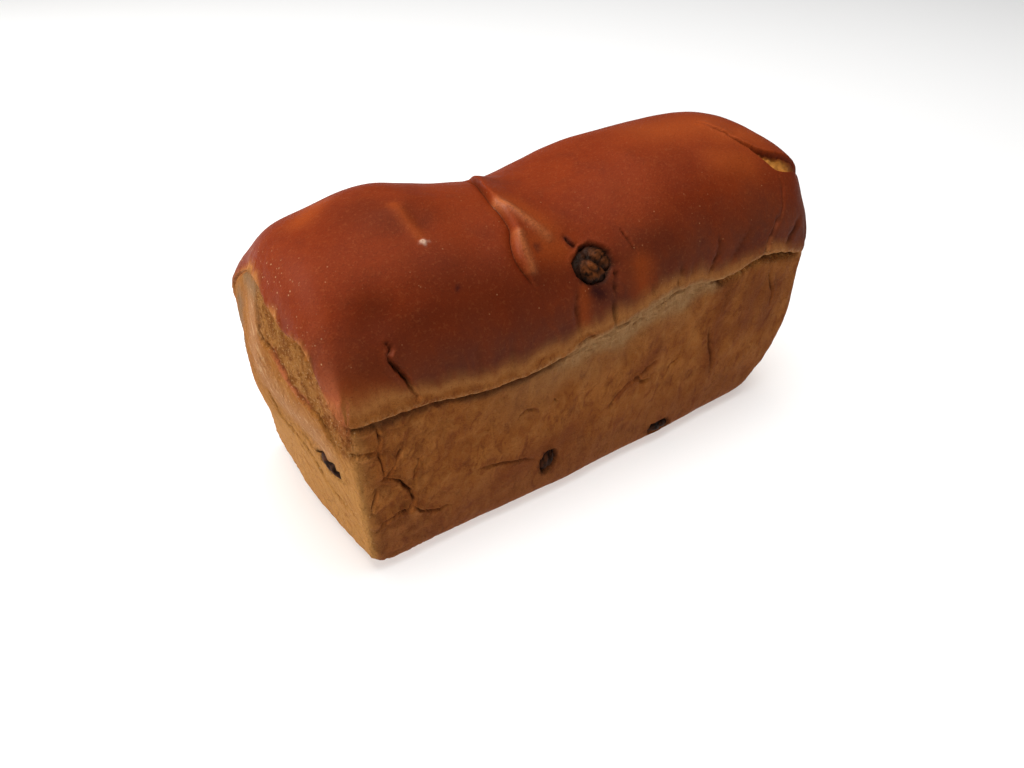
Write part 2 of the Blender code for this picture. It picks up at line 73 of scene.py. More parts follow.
class Wire:
    """A node's socket that can stand in sums. Plain numbers go through Math nodes."""

    def __init__(self, paint, socket):
        self.paint = paint
        self.socket = socket

    def math(self, operation, *values, clamp=False):
        settings = {"operation": operation, "use_clamp": clamp}
        return self.paint.node("ShaderNodeMath", settings, dict(enumerate(values)))

    def __add__(self, other):
        return self.math("ADD", self, other)

    def __radd__(self, other):
        return self.math("ADD", other, self)

    def __sub__(self, other):
        return self.math("SUBTRACT", self, other)

    def __rsub__(self, other):
        return self.math("SUBTRACT", other, self)

    def __mul__(self, other):
        return self.math("MULTIPLY", self, other)

    def __rmul__(self, other):
        return self.math("MULTIPLY", other, self)

    def __abs__(self):
        return self.math("ABSOLUTE", self)

    def step(self, low, high):
        """0 below low, 1 above high, and smooth between them."""
        sockets = {"Value": self, "From Min": low, "From Max": high}
        return self.paint.node("ShaderNodeMapRange", {"interpolation_type": "SMOOTHSTEP"}, sockets)

    def clamp(self):
        return self.math("ADD", self, 0, clamp=True)


class Paint:
    """A material whose nodes are written as sums of wires."""

    def __init__(self, name, **shader_values):
        self.material = bpy.data.materials.new(name)
        self.material.use_nodes = True
        self.tree = self.material.node_tree
        self.shader = self.tree.nodes["Principled BSDF"]
        for socket, value in shader_values.items():
            self.shader.inputs[socket.replace("_", " ")].default_value = value
        self.place = self.node("ShaderNodeTexCoord", {}, {}, "Object")

    def connect(self, socket, value):
        if isinstance(value, Wire):
            self.tree.links.new(value.socket, socket)
        elif isinstance(value, tuple) and socket.type == "RGBA":
            socket.default_value = (*value[:3], 1)
        else:
            socket.default_value = value

    def node(self, kind, settings, sockets, output=0):
        made = self.tree.nodes.new(kind)
        for name, value in settings.items():
            if name == "stops":
                self.set_stops(made.color_ramp, value)
            else:
                setattr(made, name, value)
        for name, value in sockets.items():
            self.connect(made.inputs[name], value)
        return Wire(self, made.outputs[output])

    def set_stops(self, ramp, stops):
        while len(ramp.elements) < len(stops):
            ramp.elements.new(0.5)
        for element, (position, colour) in zip(ramp.elements, stops):
            element.position = position
            element.color = (*colour, 1)

    def noise(self, size, detail=2.0, roughness=0.5, stretch=None, distortion=0.0, turn=None):
        """Soft noise whose lumps have a size in metres, turned and then drawn out by stretch."""
        place = self.place
        if turn:
            rotation = [math.radians(angle) for angle in turn]
            place = self.node("ShaderNodeMapping", {}, {"Vector": place, "Rotation": rotation})
        if stretch:
            place = self.node("ShaderNodeMapping", {}, {"Vector": place, "Scale": stretch})
        sockets = {"Vector": place, "Scale": 1 / size, "Detail": detail,
                   "Roughness": roughness, "Distortion": distortion}
        return self.node("ShaderNodeTexNoise", {}, sockets)

    def cells(self, size):
        return self.node("ShaderNodeTexVoronoi", {}, {"Vector": self.place, "Scale": 1 / size})

    def attribute(self, name):
        return self.node("ShaderNodeAttribute", {"attribute_name": name}, {}, "Fac")

    def mix(self, share, first, second):
        """The first colour where share is 0, the second where it is 1."""
        return self.node("ShaderNodeMix", {"data_type": "RGBA"}, {0: share, 6: first, 7: second}, 2)

    def coats(self, colour, *coats):
        """A colour under further coats, each with its share and its own colour."""
        for share, coat in coats:
            colour = self.mix(share, colour, coat)
        return colour

    def ramp(self, share, stops):
        return self.node("ShaderNodeValToRGB", {"stops": stops}, {"Fac": share})

    def bump(self, height_in_mm):
        sockets = {"Height": height_in_mm, "Distance": 0.001}
        return self.node("ShaderNodeBump", {}, sockets)

    def finish(self, **links):
        for socket, value in links.items():
            self.connect(self.shader.inputs[socket.replace("_", " ")], value)
        return self.material


def add_piece(name, bm, material):
    mesh = bpy.data.meshes.new(name)
    bm.to_mesh(mesh)
    bm.free()
    mesh.materials.append(material)
    mesh.shade_smooth()
    piece = bpy.data.objects.new(name, mesh)
    bpy.context.scene.collection.objects.link(piece)
    return piece


def table_paint():
    paint = Paint("white_table", Roughness=0.9)
    cloudy = paint.noise(0.4)
    colour = paint.mix(cloudy * 0.2, TABLE_COLOUR, (0.90, 0.90, 0.90))
    return paint.finish(Base_Color=colour)


bm = bmesh.new()
bmesh.ops.create_grid(bm, x_segments=8, y_segments=8, size=TABLE_SIZE / 2)
table = add_piece("table", bm, table_paint())

for name, (place, width, watts, colour, throws_shadow) in LAMPS.items():
    light = bpy.data.lights.new(name, "AREA")
    light.shape = "DISK"
    light.size = width
    light.energy = watts
    light.color = colour
    light.use_shadow = throws_shadow
    lamp = bpy.data.objects.new(name, light)
    lamp.location = place
    lamp.rotation_euler = (-Vector(place)).to_track_quat("-Z", "Y").to_euler()
    bpy.context.scene.collection.objects.link(lamp)

world = bpy.data.worlds.new("soft_sky")
world.use_nodes = True
world.node_tree.nodes["Background"].inputs["Color"].default_value = (1, 1, 1, 1)
world.node_tree.nodes["Background"].inputs["Strength"].default_value = SKY_STRENGTH
bpy.context.scene.world = world
bpy.context.scene.view_settings.view_transform = "Standard"

camera_data = bpy.data.cameras.new("camera")
camera_data.lens = CAMERA_LENS
camera = bpy.data.objects.new("camera", camera_data)
camera.location = CAMERA_PLACE
camera.rotation_euler = Euler([math.radians(turn) for turn in CAMERA_TURN])
bpy.context.scene.collection.objects.link(camera)
bpy.context.scene.camera = camera

# The bread
# A sweet dough baked in a tin. The tin gave it flat leathery walls, and the dough rose
# over the rim in two lobes that browned to a glossy crust. One closed mesh, moved into
# its form from a finely cut cube, with every fold and crack as relief.

LEFT_END = -0.0930
RIGHT_END = 0.0881
HALF_WIDTH = 0.0421
RIM_HEIGHT = 0.0579
END_TAPER = 0.0022
SIDE_TAPER = 0.0019
CORNER_RADIUS = 0.0032
BASE_ROUND_LEFT = 0.0078
BASE_ROUND_RIGHT = 0.037
BASE_ROUND_SIDE = 0.0077
LEFT_BULGE = 0.0040
RIGHT_BULGE = 0.0105
SIDE_BULGE = 0.0015
BULGE_AT_BASE = 0.58
CENTRING = 0.0011
OVERHANG = 0.0002
CROWN_STATIONS = (-1.0, -0.66, -0.33, 0.0, 0.33, 0.66, 1.0)
CROWN_HEIGHTS = (0.0495, 0.0433, 0.0399, 0.0363, 0.0408, 0.0424, 0.0492)
CROWN_POWER_LEFT = 4.58
CROWN_POWER_RIGHT = 4.20
CROWN_POWER_ACROSS = 2.23
PROFILE_ASPECT_LONG = 0.42
PROFILE_ASPECT_ACROSS = 0.9
SEAM_FADE = 0.030
SEAM_FRONT = (
    (-0.093, 0.0602), (-0.068, 0.0588), (-0.0395, 0.0550), (-0.022, 0.0565),
    (0.000, 0.0591), (0.0255, 0.0638), (0.047, 0.0610), (0.065, 0.0634), (0.087, 0.0575),
)
SEAM_BACK = (
    (-0.093, 0.0590), (-0.060, 0.0565), (-0.020, 0.0605), (0.020, 0.0570),
    (0.055, 0.0615), (0.087, 0.0580),
)
# Where the glossy crust ends on each end of the loaf: y and height
LEFT_CRUST_EDGE = (
    (-0.0420, 0.0606), (-0.0386, 0.0624), (-0.0288, 0.0739), (-0.0233, 0.0785),
    (-0.0139, 0.0785), (-0.0057, 0.0812), (0.0072, 0.0850), (0.0200, 0.0828),
    (0.0310, 0.0755), (0.0400, 0.0620),
)
RIGHT_CRUST_EDGE = (
    (-0.0410, 0.0610), (-0.0330, 0.0700), (-0.0200, 0.0760), (-0.0050, 0.0800),
    (0.0120, 0.0770), (0.0280, 0.0720), (0.0400, 0.0600),
)
BREAD_CELLS = (150, 86, 46)
# Rounds of finer cells near the creases: longest edge and how near a crease it has to be
SPLITS = ((0.0009, 0.0026), (0.00045, 0.0013), (0.00030, 0.0006))
CREASE_REACH = 0.013
SEAM_GROOVE = 0.0017
SEAM_LIP = 0.0009
# Open pockets under the seam at the right: x and half width, then their depth
POCKETS = ((0.0475, 0.0030), (0.0700, 0.0075))
POCKET_DEPTH = 0.0024
NOTCH_DEPTH = 0.0022
SOCKET_DEPTH = 0.0026
SOCKET_RIM = 0.0004

# A line drawn on one face as seen straight on, with its depth and half width
Crease = namedtuple("Crease", "face points depth width")
# Narrow open cracks, with painted shade along their bottoms
CRACKS = {
    "left lobe crack": Crease("front", (
        (-0.0762, 0.0795), (-0.0757, 0.0782), (-0.0765, 0.0768), (-0.0766, 0.0748),
        (-0.0752, 0.0722), (-0.0735, 0.0695), (-0.0724, 0.0660), (-0.0712, 0.0628)),
        0.0030, 0.00062),
    "nick": Crease("top", ((0.0097, -0.0315), (0.0104, -0.0344), (0.0114, -0.0377)),
                   0.0007, 0.0004),
    "raisin tail": Crease("top", ((-0.0090, -0.0276), (-0.0080, -0.0298), (-0.0062, -0.0313)),
                          0.0011, 0.0007),
    "strip line under pleat": Crease("front", (
        (-0.0008, 0.0592), (0.0035, 0.0592), (0.0070, 0.0600)), 0.0008, 0.0004),
    "short strip line": Crease("front", ((0.0065, 0.0572), (0.0085, 0.0580), (0.0110, 0.0584)),
                               0.0006, 0.0004),
    "long strip line": Crease("front", ((0.0170, 0.0606), (0.0225, 0.0622), (0.0285, 0.0628)),
                              0.0008, 0.0004),
    "left strip line": Crease("front", ((-0.0160, 0.0588), (-0.0120, 0.0596), (-0.0080, 0.0600)),
                              0.0006, 0.0004),
    "crust split": Crease("front", ((-0.0925, 0.0590), (-0.0889, 0.0582), (-0.0843, 0.0588)),
                          0.0018, 0.0006),
    "corner step": Crease("front", (
        (-0.0925, 0.0498), (-0.0890, 0.0495), (-0.0860, 0.0494), (-0.0842, 0.0512),
        (-0.0840, 0.0545), (-0.0844, 0.0575)), 0.0022, 0.00055),
    "corner branch": Crease("front", ((-0.0853, 0.0498), (-0.0845, 0.0429), (-0.0841, 0.0375)),
                            0.0011, 0.0004),
    "slanting branch": Crease("front", ((-0.0778, 0.0465), (-0.0817, 0.0394), (-0.0835, 0.0372)),
                              0.0012, 0.0006),
    "outer branch": Crease("front", ((-0.0717, 0.0412), (-0.0741, 0.0364), (-0.0746, 0.0338)),
                           0.0010, 0.0005),
    "ring crack": Crease("front", (
        (-0.0845, 0.0373), (-0.0810, 0.0363), (-0.0780, 0.0318), (-0.0759, 0.0270),
        (-0.0759, 0.0228), (-0.0774, 0.0214), (-0.0808, 0.0220), (-0.0842, 0.0209),
        (-0.0870, 0.0195)), 0.0018, 0.00055),
    "ring spur": Crease("front", ((-0.0795, 0.0351), (-0.0782, 0.0315)), 0.0008, 0.0004),
    "low branch": Crease("front", (
        (-0.0766, 0.0231), (-0.0735, 0.0188), (-0.0684, 0.0164), (-0.0638, 0.0160)),
        0.0011, 0.0005),
    "edge branch": Crease("front", ((-0.0870, 0.0350), (-0.0882, 0.0295), (-0.0895, 0.0259)),
                          0.0012, 0.00055),
    "wall crease": Crease("front", (
        (0.0190, 0.0375), (0.0147, 0.0360), (0.0095, 0.0345), (0.0041, 0.0322),
        (-0.0007, 0.0271)), 0.0015, 0.0006),
    "wall crease branch": Crease("front", ((0.0110, 0.0352), (0.0128, 0.0318), (0.0175, 0.0310)),
                                 0.0009, 0.0005),
    "short wall crease": Crease("front", ((0.0301, 0.0337), (0.0258, 0.0312)), 0.0006, 0.0005),
    "upright crease": Crease("front", ((0.0430, 0.0425), (0.0450, 0.0340), (0.0468, 0.0266),
                                       (0.0467, 0.0212)), 0.0010, 0.0008),
    "upper crease": Crease("front", ((0.0500, 0.0560), (0.0490, 0.0500), (0.0470, 0.0440)),
                           0.0003, 0.0007),
    "right crease": Crease("front", ((0.0704, 0.0550), (0.0730, 0.0480), (0.0741, 0.0441),
                                     (0.0732, 0.0414)), 0.0011, 0.0006),
    "hooked crease": Crease("front", ((-0.0380, 0.0385), (-0.0366, 0.0404), (-0.0336, 0.0410),
                                      (-0.0298, 0.0392)), 0.0005, 0.0005),
    "low crease": Crease("front", (
        (-0.0542, 0.0262), (-0.0470, 0.0250), (-0.0412, 0.0229), (-0.0360, 0.0215),
        (-0.0307, 0.0184)), 0.0006, 0.0005),
    "pinhole": Crease("front", ((-0.0232, 0.0404), (-0.0228, 0.0400), (-0.0225, 0.0396)),
                      0.0016, 0.0005),
    "notch tear": Crease("top", (
        (0.0683, -0.0023), (0.0713, -0.0124), (0.0741, -0.0195), (0.0777, -0.0241),
        (0.0840, -0.0261), (0.0920, -0.0275)), 0.0010, 0.00045),
    "right shoulder crease": Crease("front", (
        (0.0795, 0.0854), (0.0777, 0.0801), (0.0745, 0.0748), (0.0689, 0.0705),
        (0.0657, 0.0672)), 0.0003, 0.0007),
    "rim fold": Crease("left", (
        (0.0065, 0.0790), (0.0037, 0.0694), (-0.0040, 0.0674), (-0.0107, 0.0628),
        (-0.0172, 0.0580), (-0.0263, 0.0558), (-0.0305, 0.0501), (-0.0333, 0.0461)),
        0.0014, 0.0007),
    "low end fold": Crease("left", (
        (0.0034, 0.0528), (0.0003, 0.0410), (-0.0070, 0.0367), (-0.0138, 0.0321),
        (-0.0178, 0.0277), (-0.0268, 0.0239), (-0.0328, 0.0228)), 0.0010, 0.0007),
    "raisin slit": Crease("left", ((-0.0100, 0.0430), (-0.0159, 0.0384), (-0.0212, 0.0370)),
                          0.0018, 0.0006),
    "right end crease": Crease("right", ((-0.0100, 0.0740), (0.0040, 0.0640), (0.0190, 0.0590)),
                               0.0012, 0.0008),
    "back lobe crack": Crease("back", ((0.0560, 0.0760), (0.0585, 0.0710), (0.0575, 0.0650)),
                              0.0022, 0.0006),
    "back wall crease": Crease("back", ((-0.0200, 0.0390), (-0.0120, 0.0330), (-0.0060, 0.0310)),
                               0.0010, 0.0006),
    "back corner crack": Crease("back", (
        (0.0870, 0.0470), (0.0800, 0.0420), (0.0770, 0.0330), (0.0820, 0.0240)),
        0.0015, 0.0006),
    "back corner branch": Crease("back", ((0.0775, 0.0340), (0.0730, 0.0290), (0.0690, 0.0285)),
                                 0.0010, 0.0005),
}
# Shallow puckers of the crust above the seam
PLEATS = (
    Crease("front", ((0.0046, 0.0800), (0.0025, 0.0764), (0.0004, 0.0714), (-0.0008, 0.0660),
                     (-0.0008, 0.0590)), 0.0016, 0.0006),
    Crease("front", ((-0.0126, 0.0755), (-0.0146, 0.0709), (-0.0154, 0.0600)), 0.0014, 0.0006),
    Crease("front", ((0.0460, 0.0768), (0.0449, 0.0725), (0.0410, 0.0673), (0.0385, 0.0640)),
           0.0012, 0.0006),
    Crease("front", ((0.0615, 0.0757), (0.0560, 0.0715), (0.0490, 0.0660)), 0.0008, 0.0008),
    Crease("front", ((0.0276, 0.0724), (0.0263, 0.0688), (0.0251, 0.0648)), 0.0011, 0.0007),
    Crease("front", ((0.0689, 0.0705), (0.0668, 0.0669), (0.0640, 0.0645)), 0.0013, 0.0006),
    Crease("front", ((0.0730, 0.0752), (0.0688, 0.0684)), 0.0009, 0.0007),
    Crease("front", ((0.0843, 0.0712), (0.0800, 0.0675), (0.0765, 0.0638)), 0.0015, 0.0006),
    Crease("front", ((-0.0500, 0.0720), (-0.0510, 0.0640), (-0.0500, 0.0600)), 0.0005, 0.0010),
    Crease("front", ((-0.0560, 0.0660), (-0.0570, 0.0620)), 0.0004, 0.0007),
    Crease("front", ((-0.0390, 0.0690), (-0.0400, 0.0620), (-0.0385, 0.0570)), 0.0005, 0.0010),
    Crease("front", ((0.0150, 0.0700), (0.0140, 0.0650)), 0.0006, 0.0008),
    Crease("front", ((0.0330, 0.0720), (0.0310, 0.0660)), 0.0005, 0.0009),
    Crease("back", ((-0.0400, 0.0740), (-0.0370, 0.0680), (-0.0380, 0.0610)), 0.0009, 0.0010),
    Crease("back", ((0.0100, 0.0720), (0.0080, 0.0670), (0.0090, 0.0600)), 0.0008, 0.0010),
    Crease("back", ((0.0300, 0.0700), (0.0290, 0.0640)), 0.0005, 0.0008),
)
# Skin that laps over itself: a lip stands up on the left of the line
FOLDS = {
    "lobe fold": Crease("top", (
        (-0.0175, 0.0150), (-0.0183, 0.0076), (-0.0215, -0.0024), (-0.0231, -0.0095),
        (-0.0235, -0.0156), (-0.0241, -0.0216), (-0.0269, -0.0263), (-0.0285, -0.0312),
        (-0.0278, -0.0345), (-0.0270, -0.0372)), 0.0021, 0.0070),
    "left crust edge": Crease("left", LEFT_CRUST_EDGE[::-1], 0.0008, 0.0030),
    "right crust edge": Crease("right", RIGHT_CRUST_EDGE, 0.0010, 0.0035),
    "notch flap": Crease("top", (
        (0.0720, -0.0150), (0.0741, -0.0195), (0.0777, -0.0241), (0.0840, -0.0261),
        (0.0920, -0.0275)), 0.0006, 0.0045),
}
# Lower edge of the torn notch, which is open up to the notch tear
NOTCH_LOW = ((0.0741, -0.0215), (0.0757, -0.0251), (0.0772, -0.0278), (0.0790, -0.0302),
             (0.0830, -0.0310), (0.0870, -0.0303), (0.0925, -0.0292))
# Soft swellings along a line
RIDGES = {
    "left lobe shoulder": Crease("top", ((-0.0534, -0.0150), (-0.0534, 0.0360)), 0.0037, 0.0149),
    "gloss wrinkle": Crease("top", (
        (-0.0225, -0.0112), (-0.0212, -0.0146), (-0.0190, -0.0188), (-0.0168, -0.0230),
        (-0.0146, -0.0265)), 0.0010, 0.0020),
    "fleck ridge": Crease("top", ((-0.0546, -0.0040), (-0.0544, -0.0090), (-0.0540, -0.0140),
                                  (-0.0533, -0.0185)), 0.0006, 0.0020),
    "right soft ridge": Crease("top", ((0.0246, 0.0004), (0.0311, -0.0116)), 0.0005, 0.0030),
    "right end ridge": Crease("top", ((0.0690, -0.0010), (0.0740, -0.0150)), 0.0006, 0.0025),
    "smooth end band": Crease("left", (
        (0.0110, 0.0740), (0.0040, 0.0580), (-0.0070, 0.0500), (-0.0200, 0.0470),
        (-0.0260, 0.0420)), 0.0010, 0.0050),
}
# Soft hollows, and swellings where the depth is negative: face, place, radius, depth
DENTS = (
    ("left", (0.0138, 0.0477), 0.0197, -0.0044),
    ("right", (-0.0250, 0.0850), 0.0120, -0.0024),
    ("left", (0.0235, 0.0830), 0.0110, 0.0020),
    ("top", (-0.0765, -0.0330), 0.0070, 0.0016),
    ("top", (-0.0060, -0.0330), 0.0120, 0.0012),
    ("top", (-0.0330, -0.0200), 0.0130, 0.0010),
    ("top", (-0.0200, 0.0280), 0.0160, 0.0015),
    ("front", (0.0300, 0.0300), 0.0180, 0.0008),
    ("back", (-0.0350, 0.0280), 0.0200, 0.0009),
    ("front", (-0.0560, 0.0400), 0.0030, 0.0006),
    ("front", (-0.0390, 0.0475), 0.0022, 0.0005),
    ("front", (-0.0456, 0.0500), 0.0018, 0.0004),
)
# Places painted a warmer orange, where the crust baked warmer, and a painted sheen on the right lobe's
# top: face, line and half width
WARM_STREAKS_AND_SHEEN = (
    ("top", ((-0.0200, -0.0290), (-0.0130, -0.0300)), 0.0060),
    ("top", ((-0.0190, -0.0130), (-0.0130, -0.0240)), 0.0050),
    ("front", ((-0.0100, 0.0745), (-0.0125, 0.0680), (-0.0130, 0.0590)), 0.0022),
    ("front", ((0.0120, 0.0760), (0.0110, 0.0700)), 0.0040),
    ("left", ((-0.0040, 0.0680), (-0.0120, 0.0600), (-0.0210, 0.0580)), 0.0016),
    ("top", ((-0.0546, -0.0050), (-0.0540, -0.0120), (-0.0534, -0.0180)), 0.0018),
    ("top", ((-0.0780, 0.0090), (-0.0700, 0.0160)), 0.0050),
    ("top", ((0.0500, 0.0000), (0.0700, -0.0050)), 0.0120),
    ("front", ((-0.0900, 0.0660), (-0.0840, 0.0640)), 0.0100),
    ("top", ((0.0700, -0.0120), (0.0800, -0.0150)), 0.0100),
    # painted sheen on the right lobe's top
    ("top", ((0.0590, -0.0230), (0.0680, -0.0260)), 0.0070),
)
# Paler skin stretched over the fold, with a painted highlight along it: face, line and half width
STRETCHED_SKIN_AND_SHEEN = (
    ("top", ((-0.0226, -0.0110), (-0.0212, -0.0146), (-0.0190, -0.0188), (-0.0168, -0.0230),
             (-0.0148, -0.0262)), 0.0018),
    ("top", ((-0.0236, -0.0242), (-0.0249, -0.0276), (-0.0255, -0.0310), (-0.0260, -0.0340)),
     0.0013),
)
# Redder places on the long side: face, line and half width
RUDDY_PATCHES = (
    ("front", ((0.0500, 0.0560), (0.0470, 0.0400), (0.0460, 0.0250)), 0.0045),
    ("front", ((0.0650, 0.0500), (0.0600, 0.0380)), 0.0070),
    ("front", ((0.0760, 0.0480), (0.0720, 0.0350)), 0.0060),
    ("front", ((0.0080, 0.0340), (0.0200, 0.0420)), 0.0040),
    ("front", ((0.0190, 0.0372), (0.0095, 0.0340), (0.0020, 0.0300)), 0.0018),
    ("front", ((-0.0400, 0.0190), (-0.0180, 0.0230)), 0.0060),
)
# Places on the crown and the left end painted darker: crust that baked darker, and painted shade in the
# dent above the left lobe crack and on the left end's front corner, which gets less light: face, line
# and half width
DEEP_BROWN_AND_SHADE = (
    ("top", ((-0.0530, -0.0320), (-0.0370, -0.0350)), 0.0120),
    ("top", ((-0.0640, -0.0020), (-0.0560, -0.0100)), 0.0100),
    # painted shade in the dent above the left lobe crack
    ("top", ((-0.0760, -0.0310), (-0.0752, -0.0367)), 0.0040),
    ("front", ((-0.0820, 0.0730), (-0.0780, 0.0700)), 0.0035),
    # painted shade on the left end's front corner
    ("left", ((-0.0380, 0.0860), (-0.0410, 0.0700)), 0.0060),
    ("left", ((-0.0300, 0.0900), (-0.0380, 0.0800)), 0.0060),
)
# Places on the end that stayed pale and floury: face, line and half width
PALE_PATCHES = (
    ("left", ((0.0230, 0.0805), (0.0120, 0.0815), (0.0060, 0.0825)), 0.0042),
    ("left", ((0.0260, 0.0700), (0.0250, 0.0560)), 0.0050),
)
# Small dark stains where raisins lie near the skin: face, line and half width
BRUISES = (
    ("front", ((-0.0068, 0.0735), (-0.0050, 0.0720)), 0.0028),
    ("top", ((-0.0088, -0.0282), (-0.0080, -0.0302)), 0.0012),
    ("top", ((-0.0207, -0.0292), (-0.0205, -0.0290)), 0.0012),
    ("top", ((-0.0506, -0.0330), (-0.0504, -0.0330)), 0.0008),
)
# The white fleck of flour on the left lobe
FLOUR_FLECK = ((-0.0534, -0.0196), (-0.0530, -0.0199))
# Raisins: face, place on it, half sizes, turn about the normal and the share sunk in
Raisin = namedtuple("Raisin", "face place half_sizes turn sunk detail")
RAISINS = {
    "raisin_crown": Raisin("top", (-0.0041, -0.0362), (0.0068, 0.0060, 0.0044), 20, 0.80, 5),
    "raisin_side": Raisin("front", (-0.0263, 0.0158), (0.0029, 0.0046, 0.0028), -20, 0.86, 4),
    "raisin_base": Raisin("front", (0.0234, 0.0068), (0.0052, 0.0024, 0.0026), -6, 0.84, 4),
    "raisin_end": Raisin("left", (-0.0258, 0.0366), (0.0064, 0.0025, 0.0027), -18, 0.82, 4),
    "raisin_back_wall": Raisin("back", (0.0300, 0.0260), (0.0055, 0.0042, 0.0032), 30, 0.82, 4),
    "raisin_back_crown": Raisin("top", (-0.0480, 0.0300), (0.0058, 0.0050, 0.0038), 70, 0.84, 4),
    "raisin_right": Raisin("right", (0.0120, 0.0440), (0.0060, 0.0042, 0.0032), 15, 0.82, 4),
}


def smooth_curve(stations, values, x):
    """Smooth curve through a few stations, read at every x."""
    stations = np.asarray(stations)
    values = np.asarray(values)
    slopes = np.gradient(values, stations)
    first = np.clip(np.searchsorted(stations, x) - 1, 0, len(stations) - 2)
    step = stations[first + 1] - stations[first]
    t = np.clip((x - stations[first]) / step, 0, 1)
    start = (1 + 2 * t) * (1 - t) ** 2 * values[first]
    leaving = t * (1 - t) ** 2 * step * slopes[first]
    end = t * t * (3 - 2 * t) * values[first + 1]
    arriving = t * t * (t - 1) * step * slopes[first + 1]
    return start + leaving + end + arriving


def bell(x, width):
    """1 where x is 0, falling off smoothly to either side over a width."""
    return np.exp(-(x / width) ** 2)


def smooth_step(low, high, x):
    t = np.clip((x - low) / (high - low), 0, 1)
    return t * t * (3 - 2 * t)


def profile_table(power, aspect):
    """Arc lengths along a quarter of the crown's profile, with the x of each."""
    angle = np.linspace(0, math.pi / 2, 2000)
    x = np.sin(angle) ** (2 / power)
    rise = aspect * np.cos(angle) ** (2 / power)
    arc = np.concatenate([[0], np.cumsum(np.hypot(np.diff(x), np.diff(rise)))])
    return arc / arc[-1], x


ALONG_LEFT = profile_table(CROWN_POWER_LEFT, PROFILE_ASPECT_LONG)
ALONG_RIGHT = profile_table(CROWN_POWER_RIGHT, PROFILE_ASPECT_LONG)
ACROSS = profile_table(CROWN_POWER_ACROSS, PROFILE_ASPECT_ACROSS)


def base_inset(height, radius):
    """How far a rounded bottom edge stands in from the wall at each height."""
    t = np.clip(1 - height / radius, 0, 1)
    return radius * (1 - np.sqrt(1 - t * t))


def plan(u, v, left, right, half_width, bulge):
    """Rounded rectangle with bulging sides, over the square from -1 to 1."""
    centre = (left + right) / 2
    half_length = (right - left) / 2
    x = u * half_length
    y = v * half_width
    near_x = np.clip(x, CORNER_RADIUS - half_length, half_length - CORNER_RADIUS)
    near_y = np.clip(y, CORNER_RADIUS - half_width, half_width - CORNER_RADIUS)
    off_x = x - near_x
    off_y = y - near_y
    distance = np.hypot(off_x, off_y)
    reach = np.maximum(np.abs(off_x), np.abs(off_y))
    shrink = np.where(distance > 1e-9, reach / np.maximum(distance, 1e-9), 1)
    x = near_x + off_x * shrink
    y = near_y + off_y * shrink
    along = x / half_length
    across = y / half_width
    end_bulge = np.where(along > 0, RIGHT_BULGE, -LEFT_BULGE) * bulge
    x = x + end_bulge * np.abs(along) ** 4 * (1 - across ** 2)
    y = y + np.sign(across) * SIDE_BULGE * np.abs(across) ** 4 * (1 - along ** 2)
    return x + centre, y


def seam_height(x, v):
    front = smooth_curve(*zip(*SEAM_FRONT), x)
    back = smooth_curve(*zip(*SEAM_BACK), x)
    share = (1 + v) / 2
    return front * (1 - share) + back * share


def loaf_points(cube):
    """Points of the loaf for points on the faces of the cube from -1 to 1."""
    u, v, w = cube.T
    along_left = np.interp(np.abs(u), *ALONG_LEFT)
    along_right = np.interp(np.abs(u), *ALONG_RIGHT)
    u = np.where(u > 0, along_right, -along_left)
    v = np.sign(v) * np.interp(np.abs(v), *ACROSS)

    # walls and base
    level = (np.clip(w, -1, 1) + 1) / 2
    level = (level + np.sin(math.pi * level / 2) ** 2) / 2
    height = RIM_HEIGHT * level
    taper = END_TAPER * (1 - level)
    left = LEFT_END + taper + base_inset(height, BASE_ROUND_LEFT)
    right = RIGHT_END - taper - base_inset(height, BASE_ROUND_RIGHT)
    half_width = HALF_WIDTH - SIDE_TAPER * (1 - level) - base_inset(height, BASE_ROUND_SIDE)
    bulge = BULGE_AT_BASE + (1 - BULGE_AT_BASE) * level
    wall_x, wall_y = plan(u, v, left, right, half_width, bulge)
    wall_z = height + (seam_height(wall_x, v) - RIM_HEIGHT) * level ** 2

    # crown
    crown_x, crown_y = plan(
        u, v, LEFT_END - OVERHANG, RIGHT_END + OVERHANG, HALF_WIDTH + OVERHANG, 1)
    power = np.where(u > 0, CROWN_POWER_RIGHT, CROWN_POWER_LEFT)
    lengthwise = np.maximum(0, 1 - np.abs(u) ** power) ** (1 / power)
    crosswise = np.maximum(0, 1 - np.abs(v) ** CROWN_POWER_ACROSS) ** (1 / CROWN_POWER_ACROSS)
    rise = smooth_curve(CROWN_STATIONS, CROWN_HEIGHTS, u) * lengthwise * crosswise
    follow = np.clip(1 - rise / SEAM_FADE, 0, 1) ** 2
    crown_z = RIM_HEIGHT + rise + (seam_height(crown_x, v) - RIM_HEIGHT) * follow

    on_crown = w > 1 - 1e-6
    x = np.where(on_crown, crown_x, wall_x)
    y = np.where(on_crown, crown_y, wall_y)
    z = np.where(on_crown, crown_z, wall_z)
    return np.stack([x, y, z], 1)


def vertex_array(bm):
    return np.array([vertex.co[:] for vertex in bm.verts])


def set_points(bm, points):
    for vertex, point in zip(bm.verts, points):
        vertex.co = point


def set_attribute(bm, name, values):
    layer = bm.verts.layers.float.new(name)
    for vertex, value in zip(bm.verts, values):
        vertex[layer] = value


def throw(tree, face, place):
    """Point of the surface that is seen straight on at a place on one face, and its normal."""
    a, b = place
    far = 0.3
    start, aim = {
        "top": ((a, b, far), (0, 0, -1)),
        "front": ((a, -far, b), (0, 1, 0)),
        "back": ((a, far, b), (0, -1, 0)),
        "left": ((-far, a, b), (1, 0, 0)),
        "right": ((far, a, b), (-1, 0, 0)),
    }[face]
    point, normal, _, _ = tree.ray_cast(Vector(start), Vector(aim))
    return point, normal


